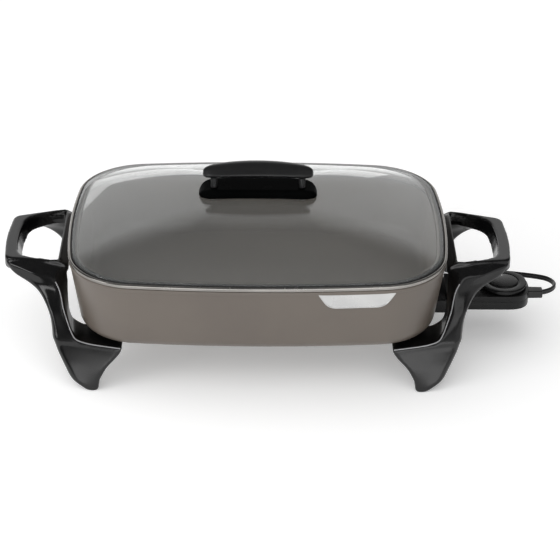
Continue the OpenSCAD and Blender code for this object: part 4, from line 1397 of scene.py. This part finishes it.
@dataclass
class HeatControl:
    """The plug-in control with its dial, in millimetres."""

    dial_x: float = 272.0
    dial_z: float = 56.6
    dial_r: float = 26.0
    dial_t: float = 5.0
    hub_r: float = 17.0
    cord_z: float = 47.2
    sleeve: tuple[Point, ...] = ((300.1, 6.5, 4.3), (314.8, 5.8, 4.3), (315.6, 5.6, 4.1), (315.9, 5.2, 3.7))
    neck: tuple[Point, Point] = ((295.4, -5.4, 43.9), (300.6, 5.4, 50.5))
    finish: Finish = CONTROL_BLACK

    def build(self) -> None:
        """Builds the housing halves, the dial and the strain relief."""
        for node, name, width, body in (("control_top", "control_cover", 0.0007, Body.CONTROL),
                                        ("control_bottom", "control_tray", 0.0006, Body.CONTROL),
                                        ("terminal_guard", "pin_guard", 0.0005, Body.SKILLET)):
            fit(softened(node, name, width), body, self.finish, Slot.CONTROL, node)
        self.dial()
        self.relief()

    def dial(self) -> None:
        """The flat dial with its raised hub and pointer dimple."""
        r, h, t = self.dial_r, self.hub_r, self.dial_t
        profile = [(0.0, 0.0), (r - 1.2, 0.0), (r - 0.35, 0.35), (r, 1.2), (r, t - 1.6), (r - 0.12, t - 1.0),
                   (r - 0.47, t - 0.47), (r - 1.0, t - 0.12), (r - 1.6, t), (h + 1.1, t), (h + 0.8, t - 0.1),
                   (h + 0.6, t - 0.9), (h - 0.6, t - 0.9), (h - 0.9, t + 0.1), (h - 1.3, t + 0.45),
                   (h - 2.4, t + 0.8), (0.0, t + 0.8)]
        bm = bmesh.new()
        turned(bm, place(self.dial_x, 0, self.dial_z), profile)
        fit(finish_mesh(bm, "dial_disc", 50.0), Body.DIAL, self.finish, Slot.CONTROL, "dial")
        mark = bmesh.new()
        top = self.dial_z + self.dial_t + 0.8
        turned(mark, place(self.dial_x - 1, self.hub_r - 5.4, top),
               [(0.0, -0.3), (1.2, -0.3), (1.2, 0.06), (1.0, 0.12), (0.0, 0.14)], 32)
        fit(finish_mesh(mark, "dial_pointer"), Body.DIAL, BADGE, Slot.STEEL)

    def relief(self) -> None:
        """The strain relief's block and its tapered sleeve."""
        bm = bmesh.new()
        loft(bm, [[place(x, y, self.cord_z + z) for y, z in rounded(slab(half_w, -half_h, half_h), (1.6,) * 4, 5)]
                  for x, half_w, half_h in self.sleeve])
        add_box(bm, place(*self.neck[0]), place(*self.neck[1]), 0.0003)
        fit(finish_mesh(bm, "relief_block"), Body.CONTROL, CORD_BLACK, Slot.CORD, "strain_relief")


@dataclass
class SmallParts:
    """Finishes of the CAD nodes that stay as they are."""

    finishes: tuple[tuple[Finish, tuple[str, ...]], ...] = (
        (SCREW_STEEL, ("frame_screws", "guard_screws", "knob_screws", "control_screws", "thermostat_bracket")),
        (PIN_NICKEL, ("terminal_pins", "temperature_probe", "dial_shaft")),
        (SHEATH, ("heating_element", "probe_well")), (CERAMIC, ("pin_insulators",)), (LENS, ("pilot_lens",)),
        (BRASS, ("terminal_sleeves", "contact_blades", "plug_blades")), (SEAL_BLACK, ("knob_grommets",)))

    def build(self) -> None:
        """Gives each node its material."""
        for finish, names in self.finishes:
            for name in names:
                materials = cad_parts[name].data.materials
                materials.clear()
                materials.append(finish.material())
                log.info("%s: CAD node in %s", name, finish.name)


@dataclass(frozen=True)
class Lamp:
    """A rectangular area lamp that looks at a point above the table, in metres and watts."""

    name: str
    at: Point
    size: Pair
    power: float
    aim: Point = (0.0, 0.0, 0.08)

    def build(self) -> None:
        """Adds the lamp."""
        data = bpy.data.lights.new(self.name, "AREA")
        data.shape, data.energy = "RECTANGLE", self.power
        data.size, data.size_y = self.size
        way = Vector(self.aim) - Vector(self.at)
        show(self.name, data, Matrix.Translation(Vector(self.at)) @ way.to_track_quat("-Z", "Y").to_matrix().to_4x4())


@dataclass(frozen=True)
class Panel:
    """A bright part of the surroundings: its direction, angles in degrees and strengths."""

    towards: Point
    full_to: float
    fades_at: float
    dark: float
    bright: float

    def strength(self, wires: Wiring, way: Any) -> Any:
        """Wires the strength of the surroundings in a direction.

        Args:
            wires: The world's wiring.
            way: The socket with the direction.

        Returns:
            The socket with the strength.
        """
        dot = wires.node("ShaderNodeVectorMath", {0: way, 1: Vector(self.towards).normalized()},
                         operation="DOT_PRODUCT")
        outer, inner = (cos(radians(angle)) for angle in (self.fades_at, self.full_to))
        return wires.ramp(dot.outputs["Value"], outer, inner, (self.dark, self.bright))


@dataclass(frozen=True)
class Floor(Surface):
    """Pale floor that keeps soft shadows and is white away from the object."""

    name: str = "studio_floor"
    colour: Colour = (0.92, 0.92, 0.92, 1.0)
    glow: float = 0.27

    def shade(self, wires: Wiring) -> Any:
        """Adds a glow for the rays that show the surroundings to a matt floor.

        Args:
            wires: The material's wiring.

        Returns:
            The shader's output.
        """
        matt = wires.node("ShaderNodeBsdfDiffuse", {"Color": self.colour})
        light = wires.node("ShaderNodeEmission", {"Strength": wires.calc(seen(wires), self.glow, "MULTIPLY")})
        return wires.node("ShaderNodeAddShader", {0: matt.outputs[0], 1: light.outputs[0]}).outputs[0]


def seen(wires: Wiring) -> Any:
    """Tells the rays that show the surroundings from those that light.

    Args:
        wires: The wiring of a tree.

    Returns:
        A socket that is 1 for the first and 0 for the others.
    """
    rays = wires.node("ShaderNodeLightPath").outputs
    straight = wires.calc(rays["Is Camera Ray"], rays["Is Glossy Ray"], "MAXIMUM")
    return wires.calc(straight, rays["Is Transmission Ray"], "MAXIMUM")


@dataclass
class Studio:
    """The floor, the surroundings and the lamps."""

    floor: Floor = Floor()
    floor_half: float = 14.0
    shown: tuple[Panel, ...] = (
        Panel((0.0, 1.0, 0.2), 15.0, 42.0, 0.14, 1.0), Panel((0.75, -0.64, 0.12), 18.0, 38.0, 0.14, 0.9),
        Panel((0.0, -1.0, 0.32), 12.0, 34.0, 0.14, 0.95))
    lighting: Panel = Panel((-0.55, -0.1, 0.83), 0.0, 92.0, 0.06, 1.55)
    lamps: tuple[Lamp, ...] = (
        Lamp("brow", (0.55, -1.1, 1.25), (1.1, 0.5), 2.0), Lamp("low_front", (0.05, -1.6, 0.26), (1.9, 0.5), 5.2),
        Lamp("left", (-1.7, -0.9, 0.8), (0.8, 0.6), 5.4), Lamp("back", (-0.5, 2.3, 0.45), (2.2, 0.5), 3.0))

    def build(self) -> None:
        """Builds floor, world and lamps."""
        bm = bmesh.new()
        bmesh.ops.create_grid(bm, x_segments=1, y_segments=1, size=self.floor_half)
        floor = finish_mesh(bm, "studio_floor")
        floor.data.materials.append(self.floor.material())
        self.world()
        for lamp in self.lamps:
            lamp.build()
        bpy.context.scene.view_settings.view_transform = "Standard"

    def world(self) -> None:
        """Surroundings that are white to the camera, show panels in gloss and light the object softly."""
        world = bpy.data.worlds.new("studio")
        bpy.context.scene.world = world
        wires = Wiring.on(world)
        way = wires.node("ShaderNodeTexCoord").outputs["Generated"]
        sky = self.shown[0].strength(wires, way)
        for panel in self.shown[1:]:
            sky = wires.calc(sky, panel.strength(wires, way), "MAXIMUM")
        light = wires.ramp(seen(wires), 0.0, 1.0, (self.lighting.strength(wires, way), sky))
        straight = wires.node("ShaderNodeLightPath").outputs["Is Camera Ray"]
        back = wires.node("ShaderNodeBackground", {"Strength": wires.calc(straight, light, "MAXIMUM")})
        wires.node("ShaderNodeOutputWorld", {"Surface": back.outputs[0]})


def main() -> None:
    """Builds the camera, the cord, each sub-assembly and the studio."""
    logging.basicConfig(level=logging.INFO, format="%(message)s")
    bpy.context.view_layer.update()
    for part in (Camera(), CordSet(), Pan(), HandleFrame(-1), HandleFrame(1), Lid(), LidHandle(),
                 HeatControl(), SmallParts(), Studio()):
        log.info("building %s", type(part).__name__)
        part.build()


if __name__ == "__main__":
    main()
